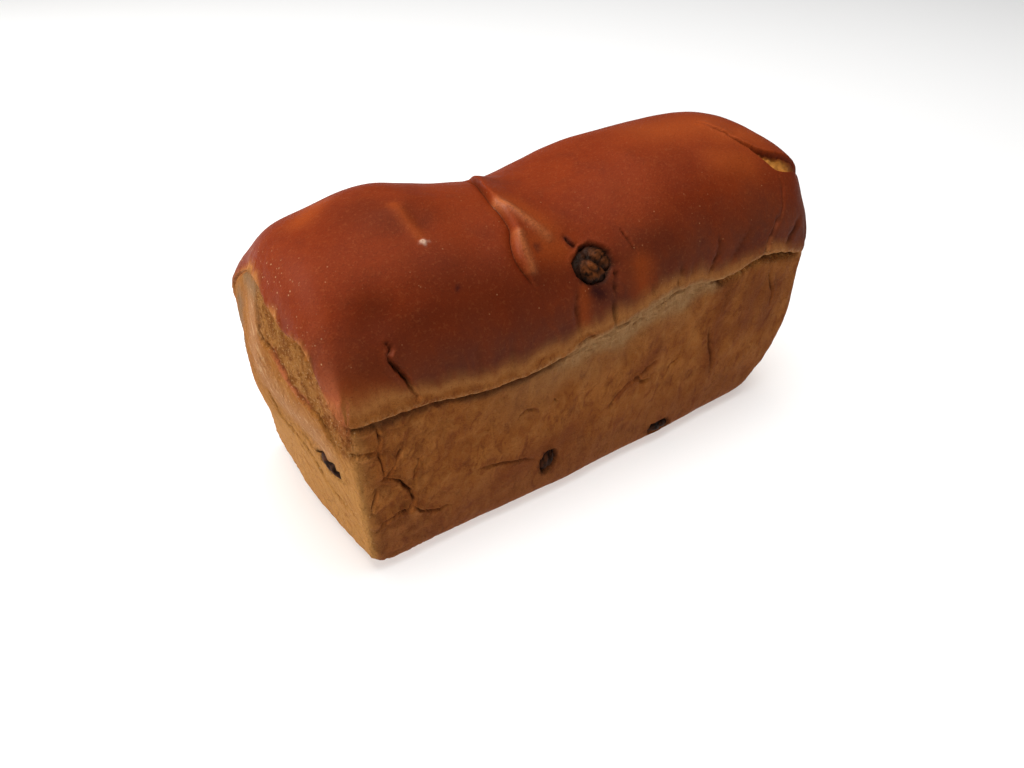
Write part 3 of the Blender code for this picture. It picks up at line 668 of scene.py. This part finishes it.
def rounded(places, steps=4):
    """The same line with more places on it, so that it bends smoothly."""
    places = np.array(list(places))
    chords = np.linalg.norm(np.diff(places, axis=0), axis=1)
    stations = np.concatenate([[0], np.cumsum(chords)])
    fine = np.interp(np.linspace(0, len(places) - 1, (len(places) - 1) * steps + 1),
                     np.arange(len(places)), stations)
    if len(places) < 3:
        return np.stack([np.interp(fine, stations, column) for column in places.T], 1)
    return np.stack([smooth_curve(stations, column, fine) for column in places.T], 1)


def thrown_line(tree, face, places):
    points = [throw(tree, face, place)[0] for place in rounded(places)]
    return np.array([p[:] for p in points if p is not None])


def follow_line(points, line, reach=CREASE_REACH):
    """Offset from the nearest spot of a line, the line's direction there, and how far
    along it the spot is, from 0 to 1. Points out of reach get a long offset."""
    steps = line[1:] - line[:-1]
    lengths = np.linalg.norm(steps, axis=1)
    starts = np.concatenate([[0], np.cumsum(lengths)])
    offset = np.ones((len(points), 3))
    heading = np.zeros((len(points), 3))
    along = np.zeros(len(points))
    inside = (points > line.min(0) - reach).all(1) & (points < line.max(0) + reach).all(1)
    close = np.flatnonzero(inside)
    best = np.full(len(close), np.inf)
    for start, step, length, before in zip(line, steps, lengths, starts):
        if length < 1e-9:
            continue
        away = points[close] - start
        t = np.clip(away @ step / length ** 2, 0, 1)
        gap = away - t[:, None] * step
        distance = np.linalg.norm(gap, axis=1)
        nearer = distance < best
        best[nearer] = distance[nearer]
        offset[close[nearer]] = gap[nearer]
        heading[close[nearer]] = step / length
        along[close[nearer]] = (before + t[nearer] * length) / starts[-1]
    return offset, heading, along


def line_distance(points, line, reach=CREASE_REACH):
    return np.linalg.norm(follow_line(points, line, reach)[0], axis=1)


def cut_cube():
    """Cube from -1 to 1, cut into cells along each axis."""
    bm = bmesh.new()
    bmesh.ops.create_cube(bm, size=2)
    for axis, cells in enumerate(BREAD_CELLS):
        edges = [e for e in bm.edges
                 if abs(e.verts[0].co[axis] - e.verts[1].co[axis]) > 1.9]
        bmesh.ops.subdivide_edges(bm, edges=edges, cuts=cells - 1, use_grid_fill=True)
    return bm


def split_near(bm, lines):
    """Splits the mesh's edges near the creases, so that they come out crisp."""
    for longest, reach in SPLITS:
        points = loaf_points(vertex_array(bm))
        near = np.full(len(points), np.inf)
        for line in lines:
            near = np.minimum(near, line_distance(points, line))
        bm.verts.index_update()
        pairs = np.array([[v.index for v in edge.verts] for edge in bm.edges])
        length = np.linalg.norm(points[pairs[:, 0]] - points[pairs[:, 1]], axis=1)
        chosen = (length > longest) & (near[pairs].min(1) < reach)
        edges = [edge for edge, take in zip(bm.edges, chosen) if take]
        bmesh.ops.subdivide_edges(bm, edges=edges, cuts=1, use_grid_fill=True)


def lumps(points, size, shift=0.0, stretch=(1, 1, 1)):
    """Smooth noise between about -1 and 1 at every point, with lumps of a size."""
    move = Vector((shift, shift * 0.7, shift * 1.3))
    places = points / (np.array(stretch) * size)
    return np.array([noise.noise(Vector(p) + move) for p in places]) * 1.6


def crumple(points, size, shift=0.0):
    """0 on the lines between irregular cells of a size, and 1 inside them."""
    warp = np.stack([lumps(points, size * 0.6, shift + k) for k in (1, 5, 9)], 1)
    places = points / size + 0.22 * warp
    gaps = np.array([noise.voronoi(Vector(p))[0][:2] for p in places])
    return smooth_step(0, 0.22, gaps[:, 1] - gaps[:, 0])


def crack_relief(points, line, crease):
    """Narrow groove with raised edges that runs out at both ends, and the painted shade along it."""
    offset, _, along = follow_line(points, line)
    distance = np.linalg.norm(offset, axis=1)
    fade = 0.25 + 0.75 * smooth_step(0, 0.25, np.minimum(along, 1 - along))
    groove = bell(distance, crease.width)
    edge = bell(distance - 2.2 * crease.width, 1.2 * crease.width)
    shade = bell(distance, 0.8 * crease.width) * min(1, crease.depth / 0.0014)
    return crease.depth * fade * (0.20 * edge - groove), fade * shade


def pleat_relief(points, line, crease):
    offset, _, along = follow_line(points, line, reach=3 * crease.width)
    distance = np.linalg.norm(offset, axis=1)
    fade = smooth_step(0, 0.3, np.minimum(along, 1 - along) + 0.05)
    return crease.depth * fade * bell(distance, crease.width)


def fold_relief(points, normals, line, crease):
    """Lip that stands up on the left of a line and sinks sharply on its right."""
    offset, heading, along = follow_line(points, line, reach=3 * crease.width)
    left = np.cross(normals, heading)
    distance = np.linalg.norm(offset, axis=1)
    side = np.where(distance < 1, np.sum(offset * left, axis=1), -1)
    fade = smooth_step(0, 0.15, np.minimum(along, 1 - along) + 0.03)
    lip = np.exp(-(distance / crease.width) ** 1.5)
    sink = -0.60 * np.exp(-(distance / (0.20 * crease.width)) ** 1.5)
    slope = 0.0006 + 0.0009 * smooth_step(0.30, 0.45, along) * (1 - smooth_step(0.80, 1.0, along))
    lean = smooth_step(-0.0001, slope, side)
    lean_over = fade * bell(side - 0.0006, 0.0008) * crease.depth * 0.28
    relief = crease.depth * fade * (lip * lean + sink * (1 - lean))
    return relief, -left * lean_over[:, None], side, fade


def raisin_frame(tree, raisin):
    """Matrix that lays a raisin in the crust, its thickness along the surface's normal."""
    point, normal = throw(tree, raisin.face, raisin.place)
    depth = (2 * raisin.sunk - 1) * raisin.half_sizes[2]
    across = Vector((1, 0, 0)) if abs(normal.x) < 0.8 else Vector((0, -1, 0))
    across = (across - normal * across.dot(normal)).normalized()
    turn = Matrix.Rotation(math.radians(raisin.turn), 3, normal)
    across = turn @ across
    lie = Matrix((across, normal.cross(across), normal)).transposed().to_4x4()
    lie.translation = point - normal * depth
    return lie


def socket_relief(points, lie, raisin):
    """Pit in the crust round a raisin with a thin raised edge, and a ring of painted shade in the gap
    round the raisin.
    """
    local = (points - np.array(lie.translation)) @ np.array(lie.to_3x3())
    reach = np.hypot(local[:, 0] / raisin.half_sizes[0], local[:, 1] / raisin.half_sizes[1])
    reach = reach + 0.10 * lumps(points, 0.003, 4)
    close = np.abs(local[:, 2]) < 0.009
    pit = close * (1 - smooth_step(0.86, 1.06, reach))
    rim = close * bell(reach - 1.16, 0.10)
    ring = close * bell(np.maximum(reach - 0.98, 0), 0.13)
    return SOCKET_RIM * rim - SOCKET_DEPTH * pit, ring


def seam_line(face, drop, first, last):
    """Line along the seam on one long side, or a little under it."""
    x = np.linspace(first, last, 30)
    z = seam_height(x, -1 if face == "front" else 1) - drop
    return thrown_line(bread_tree, face, zip(x, z))


bread = cut_cube()
bread.verts.index_update()
cube = vertex_array(bread)
bread_tree = BVHTree.FromPolygons(
    [Vector(p) for p in loaf_points(cube)], [[v.index for v in f.verts] for f in bread.faces])


def thrown(creases):
    return {name: (c, thrown_line(bread_tree, c.face, c.points)) for name, c in creases.items()}


crack_lines = thrown(CRACKS)
pleat_lines = thrown(dict(enumerate(PLEATS)))
fold_lines = thrown(FOLDS)
ridge_lines = thrown(RIDGES)
fleck_line = thrown_line(bread_tree, "top", FLOUR_FLECK)
notch_low_line = thrown_line(bread_tree, "top", NOTCH_LOW)
fine_lines = [line for _, line in [*crack_lines.values(), *fold_lines.values()]]
fine_lines += [seam_line("front", 0.0003, -0.088, 0.084), seam_line("back", 0.0003, -0.088, 0.084)]
fine_lines += [seam_line("front", drop, -0.022, 0.066) for drop in (0.0024, 0.0046)]
fine_lines += [fleck_line, notch_low_line]
split_near(bread, fine_lines)

cube = vertex_array(bread)
points = loaf_points(cube)
set_points(bread, points)
bmesh.ops.recalc_face_normals(bread, faces=bread.faces)
bread.normal_update()
normals = np.array([vertex.normal[:] for vertex in bread.verts])
x, y, z = points.T

# zones of the surface
over_seam = z - seam_height(x, np.clip(y / HALF_WIDTH, -1, 1))
from_ends = np.minimum(x - LEFT_END, RIGHT_END - x)
long_side = smooth_step(0.80, 0.97, np.abs(y) / HALF_WIDTH) * smooth_step(0, 0.008, from_ends)
front = (y < 0).astype(float)
left_face = smooth_step(0.45, 0.8, -normals[:, 0]) * (x < -0.085)
right_face = smooth_step(0.45, 0.8, normals[:, 0]) * (x > 0.075)
over_left_edge = z - smooth_curve(*zip(*LEFT_CRUST_EDGE), y)
over_right_edge = z - smooth_curve(*zip(*RIGHT_CRUST_EDGE), y)
streaks = lumps(points, 0.0022, 3, (1, 1, 5))
drifts = lumps(points, 0.008, 8, (1, 1, 1.6))
crumb = lumps(points, 0.0016, 19) + 0.6 * lumps(points, 0.0034, 27)
fibres = lumps(points, 0.0011, 41, (5, 1, 1)) + 0.5 * lumps(points, 0.0022, 47, (4, 1, 1))
rim_offset, rim_heading, _ = follow_line(points, crack_lines["rim fold"][1], reach=1)
rim_side = np.sum(rim_offset * np.cross(normals, rim_heading), axis=1)

# how far the crust browned, on the crown and on both ends
to_right = smooth_step(-0.020, 0.012, x) * front
baked = over_seam + 0.0016 * to_right + 0.0006 * streaks + 0.0016 * drifts
baked += 0.0024 * smooth_step(0.030, 0.070, x) * front
baked = smooth_step(0.0010, 0.0115, baked)
left_baked = smooth_step(-0.0006, 0.0040, over_left_edge + 0.0008 * streaks + 0.0018 * drifts)
left_baked *= 1 - 0.55 * smooth_step(-0.026, -0.038, y) * (1 - smooth_step(0.0655, 0.0700, z))
right_baked = smooth_step(-0.0002, 0.0048, over_right_edge + 0.0010 * streaks)
baked = baked * (1 - left_face) + left_baked * left_face
baked = baked * (1 - right_face) + right_baked * right_face
baked *= 1 - 0.20 * front * np.exp(-((x + 0.0895) / 0.009) ** 2 - ((z - 0.064) / 0.010) ** 2)
# torn places, where crumb or pale fibres show
left_shred = left_face * smooth_step(0.0004, -0.0016, over_left_edge + 0.0008 * crumb)
left_shred *= smooth_step(-0.0004, 0.0008, rim_side) * smooth_step(0.0460, 0.0500, z)
right_shred = right_face * smooth_step(0.0002, -0.0010, over_right_edge)
right_shred *= smooth_step(0.0570, 0.0590, z)
closed = smooth_step(-0.027, -0.016, x) * (1 - smooth_step(0.039, 0.046, x)) * front
strip_foot = np.interp(x, (-0.030, 0.0, 0.020, 0.030, 0.044),
                       (-0.003, -0.0075, -0.0085, -0.008, -0.002))
torn_strip = smooth_step(-0.0026, 0.0026, over_seam - strip_foot + 0.0014 * drifts)
torn_strip *= 1 - smooth_step(-0.0004, 0.0026, over_seam + 0.0012 * drifts + 0.0006 * streaks)
torn_strip *= long_side * front * smooth_step(-0.034, -0.010, x) * (1 - smooth_step(0.042, 0.054, x))
seam_crumbs = bell(over_seam + 0.0012, 0.0016) * (over_seam < 0.0004) * long_side
seam_crumbs *= front * smooth_step(0.042, 0.047, x) * (1 - smooth_step(0.080, 0.086, x))
shred = np.clip(left_shred + right_shred + seam_crumbs, 0, 1)
# leathery skin near the corners
wall = 1 - smooth_step(-0.002, 0.001, over_seam)
corner = bell(x + 0.081, 0.013) + bell(x - 0.082, 0.013) * (1 - front)
wrinkled = np.clip(0.25 + corner, 0, 1) * wall * (1 - 0.7 * left_face)
wrinkled *= 1 - 0.8 * smooth_step(0.010, 0.030, y) * (x < -0.070)

# relief along the normals, a sideways slide, and the painted shade in grooves and pockets
slide = np.zeros_like(points)
painted_shade = np.zeros(len(points))
relief = 0.0006 * lumps(points, 0.026) / 1.6
relief += 0.00022 * np.array([noise.noise(Vector(p) / 0.009 + Vector((7, 3, 5))) for p in points])
# the seam: a groove with open pockets, under an overhanging lip, with painted shade in the groove and
# the pockets
steep = smooth_step(0.6, 0.9, np.abs(cube[:, :2]).max(1)) * smooth_step(-0.012, -0.008, over_seam)
ragged = over_seam + (0.00035 * lumps(points, 0.0030, 6) + 0.0004 * lumps(points, 0.011, 9)) * long_side
along_seam = lumps(points, 0.012, 2)
open_seam = long_side * (0.60 + 0.40 * smooth_step(-0.5, 0.5, along_seam)) * (1 - 0.94 * closed)
seam_groove = bell(ragged + 0.0002, 0.0009)
relief -= steep * (0.0003 * (1 - long_side) + SEAM_GROOVE * open_seam) * seam_groove
pocket = sum(bell(x - place, width) for place, width in POCKETS)
pocket *= long_side * front
relief -= steep * pocket * POCKET_DEPTH * bell(ragged + 0.0011, 0.0014)
lip = bell(ragged - 0.0016, 0.0017) * smooth_step(0.0, 0.0006, ragged)
lip *= 1 - 0.9 * closed
relief += steep * SEAM_LIP * long_side * lip
slide[:, 2] -= steep * (1 - closed) * 0.0006 * long_side * bell(ragged - 0.0007, 0.0008)
painted_shade += steep * open_seam * bell(ragged + 0.0005, 0.00055)
painted_shade += 1.5 * steep * pocket * bell(ragged + 0.0007 + 0.0003 * crumb, 0.0009)
seam_lip = steep * long_side * (1 - 0.8 * closed) * bell(ragged - 0.0006, 0.0009)
# painted shadow of the seam's overhanging lip on the wall just under it, at the left
under_lip = long_side * front * smooth_step(-0.0042, -0.0012, ragged + 0.0012 * drifts)
under_lip *= (ragged < 0.0002) * (1 - smooth_step(-0.034, -0.018, x))
# torn places
relief += torn_strip * (0.00018 * fibres + 0.00005 * crumb - 0.0003)
relief += shred * (0.00032 * crumb + 0.00025 * drifts - 0.0004)
# cracks, puckers, swellings, folds and hollows; the grooves of cracks, puckers and the lobe fold get
# painted shade
wavy = points + 0.00028 * np.stack([lumps(points, 0.0020, k) for k in (11, 17, 23)], 1)
for crease, line in crack_lines.values():
    groove, shade = crack_relief(wavy, line, crease)
    relief += groove
    painted_shade = np.maximum(painted_shade, shade)
for crease, line in pleat_lines.values():
    groove = pleat_relief(points, line, crease)
    relief -= groove
    painted_shade = np.maximum(painted_shade, 0.50 * groove / 0.0010)
for crease, line in ridge_lines.values():
    relief += pleat_relief(points, line, crease)
for name, (crease, line) in fold_lines.items():
    rise, lean, side, fade = fold_relief(points, normals, line, crease)
    relief += rise
    slide += lean
    if name == "lobe fold":
        painted_shade = np.maximum(painted_shade, fade * bell(side + 0.00025, 0.00040))
        behind_lip = np.where(np.abs(side) < 0.006, smooth_step(0.0001, -0.0004, side), 0)
for face, place, radius, depth in DENTS:
    centre = np.array(throw(bread_tree, face, place)[0][:])
    relief -= depth * bell(np.linalg.norm(points - centre, axis=1), radius)
# the notch torn in the crust at the right end
tear_offset, tear_heading, _ = follow_line(points, crack_lines["notch tear"][1])
low_offset, low_heading, _ = follow_line(points, notch_low_line)
below_tear = -np.sum(tear_offset * np.cross(normals, tear_heading), axis=1)
above_low = np.sum(low_offset * np.cross(normals, low_heading), axis=1)
notch = smooth_step(0, 0.0009, below_tear) * smooth_step(-0.0002, 0.0010, above_low)
notch *= (x > 0.0735) * (np.linalg.norm(low_offset, axis=1) < 0.008)
relief += notch * (-NOTCH_DEPTH + 0.00045 * crumb)
# the skin of the walls, the left end and the crust above the seam
leather = crumple(points, 0.0080)
fine_leather = crumple(points, 0.0034, 30)
relief -= wrinkled * (0.00045 * (1 - leather) + 0.00020 * (1 - fine_leather))
relief += wall * np.clip(corner, 0, 1) * (1 - left_face) * 0.00035 * lumps(points, 0.0042, 88)
slanted = points + points[:, 2:] * np.array([[-0.45, 0, 0]])
off_base = wall * smooth_step(0.002, 0.014, z) * (1 - 0.7 * left_face)
relief += off_base * (0.00030 * lumps(slanted, 0.0044, 14, (1, 1, 2.4)) + 0.00010 * streaks)
relief += off_base * long_side * 0.00036 * lumps(slanted, 0.0090, 15, (1, 1, 1.8))
upright = points + points[:, 2:] * np.array([[0, -0.9, 0]])
relief += left_face * (0.00014 * lumps(upright, 0.0012, 52, (1, 1, 7)) + 0.00010 * crumb)
relief += (1 - wall) * 0.00010 * streaks * (1 - smooth_step(0.004, 0.022, over_seam))
# the fleck of flour and the raisins' sockets
fleck = bell(line_distance(points, fleck_line) + 0.0009 * crumb, 0.0007)
relief += 0.0003 * fleck
raisin_lies = {name: raisin_frame(bread_tree, raisin) for name, raisin in RAISINS.items()}
# painted shade in the gaps between the raisins and the crust
burnt = np.zeros(len(points))
for name, raisin in RAISINS.items():
    pit, ring = socket_relief(points, raisin_lies[name], raisin)
    relief += pit
    burnt = np.maximum(burnt, ring)

# the base stays flat, and nothing reaches past the solids' box
keep_flat = smooth_step(0, 0.004, z)
moved = points + (normals * relief[:, None] + slide) * keep_flat[:, None]
moved += np.array([CENTRING, 0, 0])
moved = np.clip(moved, np.array(cad_low), np.array(cad_high))
set_points(bread, moved)


def near_lines(lines):
    """1 on the lines and 0 away from them, for lines with a face, places and a width."""
    near = np.zeros(len(points))
    for face, places, width in lines:
        line = thrown_line(bread_tree, face, places)
        distance = line_distance(points, line, reach=3 * width)
        near = np.maximum(near, bell(distance, width))
    return near


# colour zones, kept as attributes of the mesh
band_distance = line_distance(points, ridge_lines["smooth end band"][1])
pink = left_face * bell(band_distance, 0.0050)
pale = wall * smooth_step(-0.020, -0.004, over_seam + 0.004 * drifts) * long_side * front
pale *= smooth_step(-0.060, -0.025, x) * (1 - smooth_step(0.022, 0.045, x))
zones = {
    "baked": baked, "shred": shred, "crevice": np.clip(painted_shade, 0, 1),
    "lifted": near_lines(STRETCHED_SKIN_AND_SHEEN) * (1 - behind_lip),
    "warm": near_lines(WARM_STREAKS_AND_SHEEN), "bruise": near_lines(BRUISES), "pink": pink,
    "pale": pale, "ruddy": wall * near_lines(RUDDY_PATCHES), "burnt": burnt, "flour": fleck,
    "leather": wall * (1 - leather) * np.clip(0.35 + corner, 0, 1),
    "gold": notch, "seam_lip": seam_lip, "under_lip": under_lip, "strip": torn_strip,
    "ripe": smooth_step(0.009, 0.030, over_seam + 0.003 * drifts),
    "end_face": left_face + right_face, "floury": near_lines(PALE_PATCHES),
    "deep": near_lines(DEEP_BROWN_AND_SHADE),
    "corner": wall * np.exp(-np.hypot(x + 0.0925, y + 0.0408) ** 2 / 0.0036 ** 2),
}
for name, values in zones.items():
    set_attribute(bread, name, values)
underside = [f for f in bread.faces if all(v.co.z < 1e-5 for v in f.verts)]
bmesh.ops.dissolve_faces(bread, faces=underside, use_verts=False)
bmesh.ops.triangulate(bread, faces=bread.faces, quad_method="BEAUTY", ngon_method="BEAUTY")


def bread_paint():
    """Baked crust: glossy red-brown crown, golden near the seam, leathery tan walls."""
    paint = Paint("baked_crust", Coat_Roughness=0.38, Specular_IOR_Level=0.055,
                  Specular_Tint=(1.0, 0.60, 0.36, 1.0))
    baked = paint.attribute("baked")
    shred = paint.attribute("shred")
    crevice = paint.attribute("crevice")
    lifted = paint.attribute("lifted")
    end_face = paint.attribute("end_face")
    height = paint.node("ShaderNodeSeparateXYZ", {}, {"Vector": paint.place}, "Z")
    cloud = paint.noise(0.030, 3)
    patch = paint.noise(0.011, 3, 0.55, distortion=0.4)
    mottle = paint.noise(0.0036, 4, 0.6, (1, 1, 0.6), 0.5)
    drawn = paint.noise(0.0019, 4, 0.6, (1, 1, 0.40), 0.6)
    grain = paint.noise(0.0010, 3, 0.65)
    pores = paint.noise(0.00050, 2, 0.7)
    slant = paint.noise(0.0042, 5, 0.6, (1, 1, 0.55), 0.9, (0, -24, 0))
    band = paint.noise(0.0013, 3, 0.6, (1, 1, 0.20), 0.3, (45, 0, 0))
    wrinkle = abs(paint.noise(0.0065, 3, 0.5, (1, 1, 0.5), 0.5, (0, -24, 0)) - 0.5)
    wrinkle = wrinkle.step(0.035, 0.0) * patch.step(0.42, 0.58)

    crown = paint.mix(cloud.step(0.35, 0.65), (0.172, 0.0215, 0.0048), (0.208, 0.0275, 0.0054))
    # maroon lower down the crown, partly crust colour and partly painted shade on the crown's lower
    # slopes, which get less light
    maroon_and_shade = paint.mix(patch.step(0.40, 0.60), (0.120, 0.0300, 0.0150), (0.148, 0.0330, 0.0135))
    crown = paint.mix(paint.attribute("ripe"), maroon_and_shade, crown)
    crown = paint.coats(
        crown,
        (mottle.step(0.40, 0.75) * 0.40, (0.225, 0.036, 0.008)),
        (patch.step(0.50, 0.30) * 0.30, (0.120, 0.018, 0.007)),
        # darker crust, and painted shade in a dent and on the left end's front corner
        (paint.attribute("deep") * 0.55, (0.100, 0.016, 0.0055)),
        # warmer orange where the crust baked warmer, and a painted sheen on the right lobe's top
        (paint.attribute("warm") * 0.75, (0.300, 0.052, 0.009)),
        # paler stretched skin over the fold, with a painted highlight
        (lifted * (0.35 + drawn * 0.8), (0.44, 0.120, 0.034)))

    tan = paint.mix(patch.step(0.34, 0.66), (0.300, 0.092, 0.0190), (0.385, 0.133, 0.030))
    tan = paint.coats(
        tan,
        (mottle.step(0.50, 0.72) * 0.50, (0.440, 0.175, 0.048)),
        (mottle.step(0.48, 0.30) * 0.50, (0.190, 0.048, 0.012)),
        (slant.step(0.50, 0.32) * 0.60, (0.175, 0.040, 0.011)),
        (slant.step(0.54, 0.74) * 0.30, (0.480, 0.195, 0.055)),
        (drawn.step(0.46, 0.30) * 0.35, (0.165, 0.042, 0.012)),
        (drawn.step(0.56, 0.72) * 0.25, (0.47, 0.195, 0.060)))
    # darker and redder towards the bottom of the walls: partly crust colour, partly painted shade where
    # the loaf meets the table
    low = (height * -1 + (patch - 0.5) * 0.02).step(-0.030, -0.008) * (1 - end_face)
    tan = paint.coats(
        tan,
        (low * 0.50, (0.195, 0.058, 0.025)),
        (paint.attribute("ruddy") * 0.65, (0.180, 0.043, 0.014)),
        (paint.attribute("pale") * 0.55, (0.36, 0.170, 0.062)),
        (paint.attribute("leather") * 0.42, (0.14, 0.038, 0.011)))
    end_tan = paint.mix(height.step(0.030, 0.060), (0.55, 0.285, 0.085), (0.34, 0.130, 0.020))
    tan = paint.coats(
        tan,
        (end_face * 0.60, end_tan),
        (end_face * band.step(0.50, 0.68) * 0.25, (0.54, 0.270, 0.070)),
        (end_face * band.step(0.46, 0.32) * 0.50, (0.26, 0.085, 0.022)),
        (paint.attribute("floury") * 0.90, (0.235, 0.130, 0.060)),
        (paint.attribute("corner") * 0.60, (0.50, 0.230, 0.065)),
        (wrinkle * 0.22, (0.10, 0.026, 0.009)),
        # painted shadow under the seam's lip
        (paint.attribute("under_lip") * 0.65, (0.075, 0.033, 0.015)))

    edge = (baked + (mottle - 0.5) * 0.30 * baked * (1 - baked) * 4).clamp()
    share = paint.ramp(edge, (
        (0.0, (0.0, 0.0, 0.0)), (0.30, (0.22, 0.22, 0.22)),
        (0.65, (0.75, 0.75, 0.75)), (0.95, (1.0, 1.0, 1.0))))
    golden = paint.mix(drawn.step(0.60, 0.35) * 0.4, (0.48, 0.190, 0.052), (0.31, 0.098, 0.026))
    golden = paint.mix(edge.step(0.0, 0.25), tan, golden)
    colour = paint.mix(share, golden, crown)
    fibre = drawn.step(0.35, 0.65)
    strip = paint.mix(fibre, (0.35, 0.180, 0.072), (0.44, 0.245, 0.105))
    colour = paint.mix(paint.attribute("strip") * 0.85, colour, strip)
    colour = paint.mix(paint.attribute("seam_lip") * grain.step(0.40, 0.65) * 0.6, colour,
                       (0.52, 0.30, 0.13))

    crumb = paint.mix(mottle.step(0.38, 0.62), (0.22, 0.070, 0.013), (0.40, 0.170, 0.044))
    crumb = paint.coats(
        crumb,
        (grain.step(0.54, 0.68) * 0.7, (0.52, 0.29, 0.11)),
        (grain.step(0.43, 0.30) * 0.6, (0.13, 0.034, 0.009)))
    colour = paint.coats(
        colour,
        (shred * 0.9, crumb),
        (paint.attribute("gold"), (0.52, 0.21, 0.040)))
    pink = paint.mix(band.step(0.52, 0.66), (0.42, 0.205, 0.095), (0.58, 0.350, 0.190))
    colour = paint.coats(
        colour,
        (paint.attribute("pink") * 0.70, pink),
        (paint.attribute("warm") * end_face * 0.8, (0.42, 0.110, 0.045)),
        (paint.attribute("bruise") * 0.92, (0.028, 0.006, 0.007)),
        # painted shade round the raisins
        (paint.attribute("burnt") * 0.93, (0.014, 0.006, 0.004)),
        # painted shade in the seam, the pockets, the cracks, the puckers and the lobe fold
        (crevice * 0.80, (0.030, 0.008, 0.003)),
        (grain.step(0.52, 0.74) * 0.13, (0.46, 0.150, 0.050)),
        (pores.step(0.48, 0.30) * 0.28, (0.060, 0.013, 0.005)),
        (paint.attribute("flour") * 0.8, (0.66, 0.44, 0.32)))

    dots = paint.cells(0.0027)
    dust = (dots + grain * 0.10).step(0.16, 0.10) * paint.noise(0.009, 1).step(0.52, 0.62)
    colour = paint.mix(dust * 0.45 * baked, colour, (0.50, 0.22, 0.10))
    crumbs = (paint.cells(0.0015) + grain * 0.2).step(0.32, 0.20)
    crumbs = crumbs * paint.noise(0.005, 1).step(0.46, 0.60)
    rough_part = (end_face + shred + paint.attribute("corner")).clamp()
    colour = paint.mix(crumbs * rough_part * 0.5, colour, (0.60, 0.38, 0.19))

    rough = 0.74 - baked * 0.22 + shred * 0.15 + crevice * 0.15
    rough = rough - lifted * 0.12 + (mottle - 0.5) * 0.14
    matt = (1 - baked).clamp()
    relief = matt * (mottle * 0.60 + grain * 0.40 + pores * 0.24 - wrinkle * 0.15 + slant * 0.90)
    relief = relief + matt * drawn * 0.40
    relief = relief + end_face * matt * band * 0.40
    relief = relief + baked * (mottle * 0.16 + grain * 0.090 + pores * 0.050 + drawn * 0.06)
    relief = relief + shred * (grain * 0.60 + pores * 0.30)
    relief = relief + lifted * (mottle * 0.45 + drawn * 0.60 + grain * 0.20)
    return paint.finish(
        Base_Color=colour, Roughness=rough, Coat_Weight=baked * 0.03 + lifted * 0.30,
        Normal=paint.bump(relief))


loaf = add_piece("bread", bread, bread_paint())
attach(loaf, "root")
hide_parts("loaf")

# The raisins
# Dried grapes that were kneaded into the dough. The ones in the crust swelled, burst and
# blistered: dark wrinkled skin in folds round paler caramel hollows.

RAISIN_WRINKLE = 0.16
RAISIN_FURROW = 0.26


def raisin_paint():
    paint = Paint("raisin_skin", Coat_Weight=0.03, Coat_Roughness=0.2, Specular_IOR_Level=0.05,
                  Specular_Tint=(1.0, 0.70, 0.45, 1.0))
    caramel = paint.attribute("caramel")
    cloud = paint.noise(0.0022, 3)
    grain = paint.noise(0.0006, 3, 0.6)
    skin = paint.mix(cloud.step(0.35, 0.65), (0.007, 0.003, 0.002), (0.026, 0.009, 0.005))
    colour = paint.mix(caramel * cloud.step(0.30, 0.58), skin, (0.180, 0.050, 0.013))
    rough = 0.50 + (cloud - 0.5) * 0.2
    relief = grain * 0.16 + cloud * 0.25
    return paint.finish(Base_Color=colour, Roughness=rough, Normal=paint.bump(relief))


raisin_skin = raisin_paint()
for name, raisin in RAISINS.items():
    bm = bmesh.new()
    bmesh.ops.create_icosphere(bm, subdivisions=raisin.detail, radius=1)
    ball = vertex_array(bm)
    seed = len(name) * 3.1 + raisin.turn
    bend = ball[:, 0] - 0.18 + 0.22 * np.sin(2.2 * ball[:, 1] + 0.6) + 0.10 * lumps(ball, 0.7, seed)
    furrow = bell(bend, 0.17) * smooth_step(-0.2, 0.5, ball[:, 2])
    wrinkle = 0.8 * bell(lumps(ball, 1.25, seed), 0.12)
    wrinkle = np.maximum(wrinkle, 0.45 * bell(lumps(ball, 0.48, seed + 4), 0.12))
    draw_in = RAISIN_WRINKLE * wrinkle + RAISIN_FURROW * furrow
    set_points(bm, ball * (1 - draw_in)[:, None])
    caramel = (1 - wrinkle) * (1 - furrow) * smooth_step(0.45, 0.85, ball[:, 2])
    caramel *= np.where(bend < 0, 1.0, 0.6) * (1.0 if name == "raisin_crown" else 0.3)
    set_attribute(bm, "caramel", caramel)
    bmesh.ops.scale(bm, vec=raisin.half_sizes, verts=bm.verts)
    lie = Matrix.Translation((CENTRING, 0, 0)) @ raisin_lies[name]
    bmesh.ops.transform(bm, matrix=lie, verts=bm.verts)
    piece = add_piece(name.replace("raisin", "dried_grape"), bm, raisin_skin)
    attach(piece, "root")
    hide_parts(name)
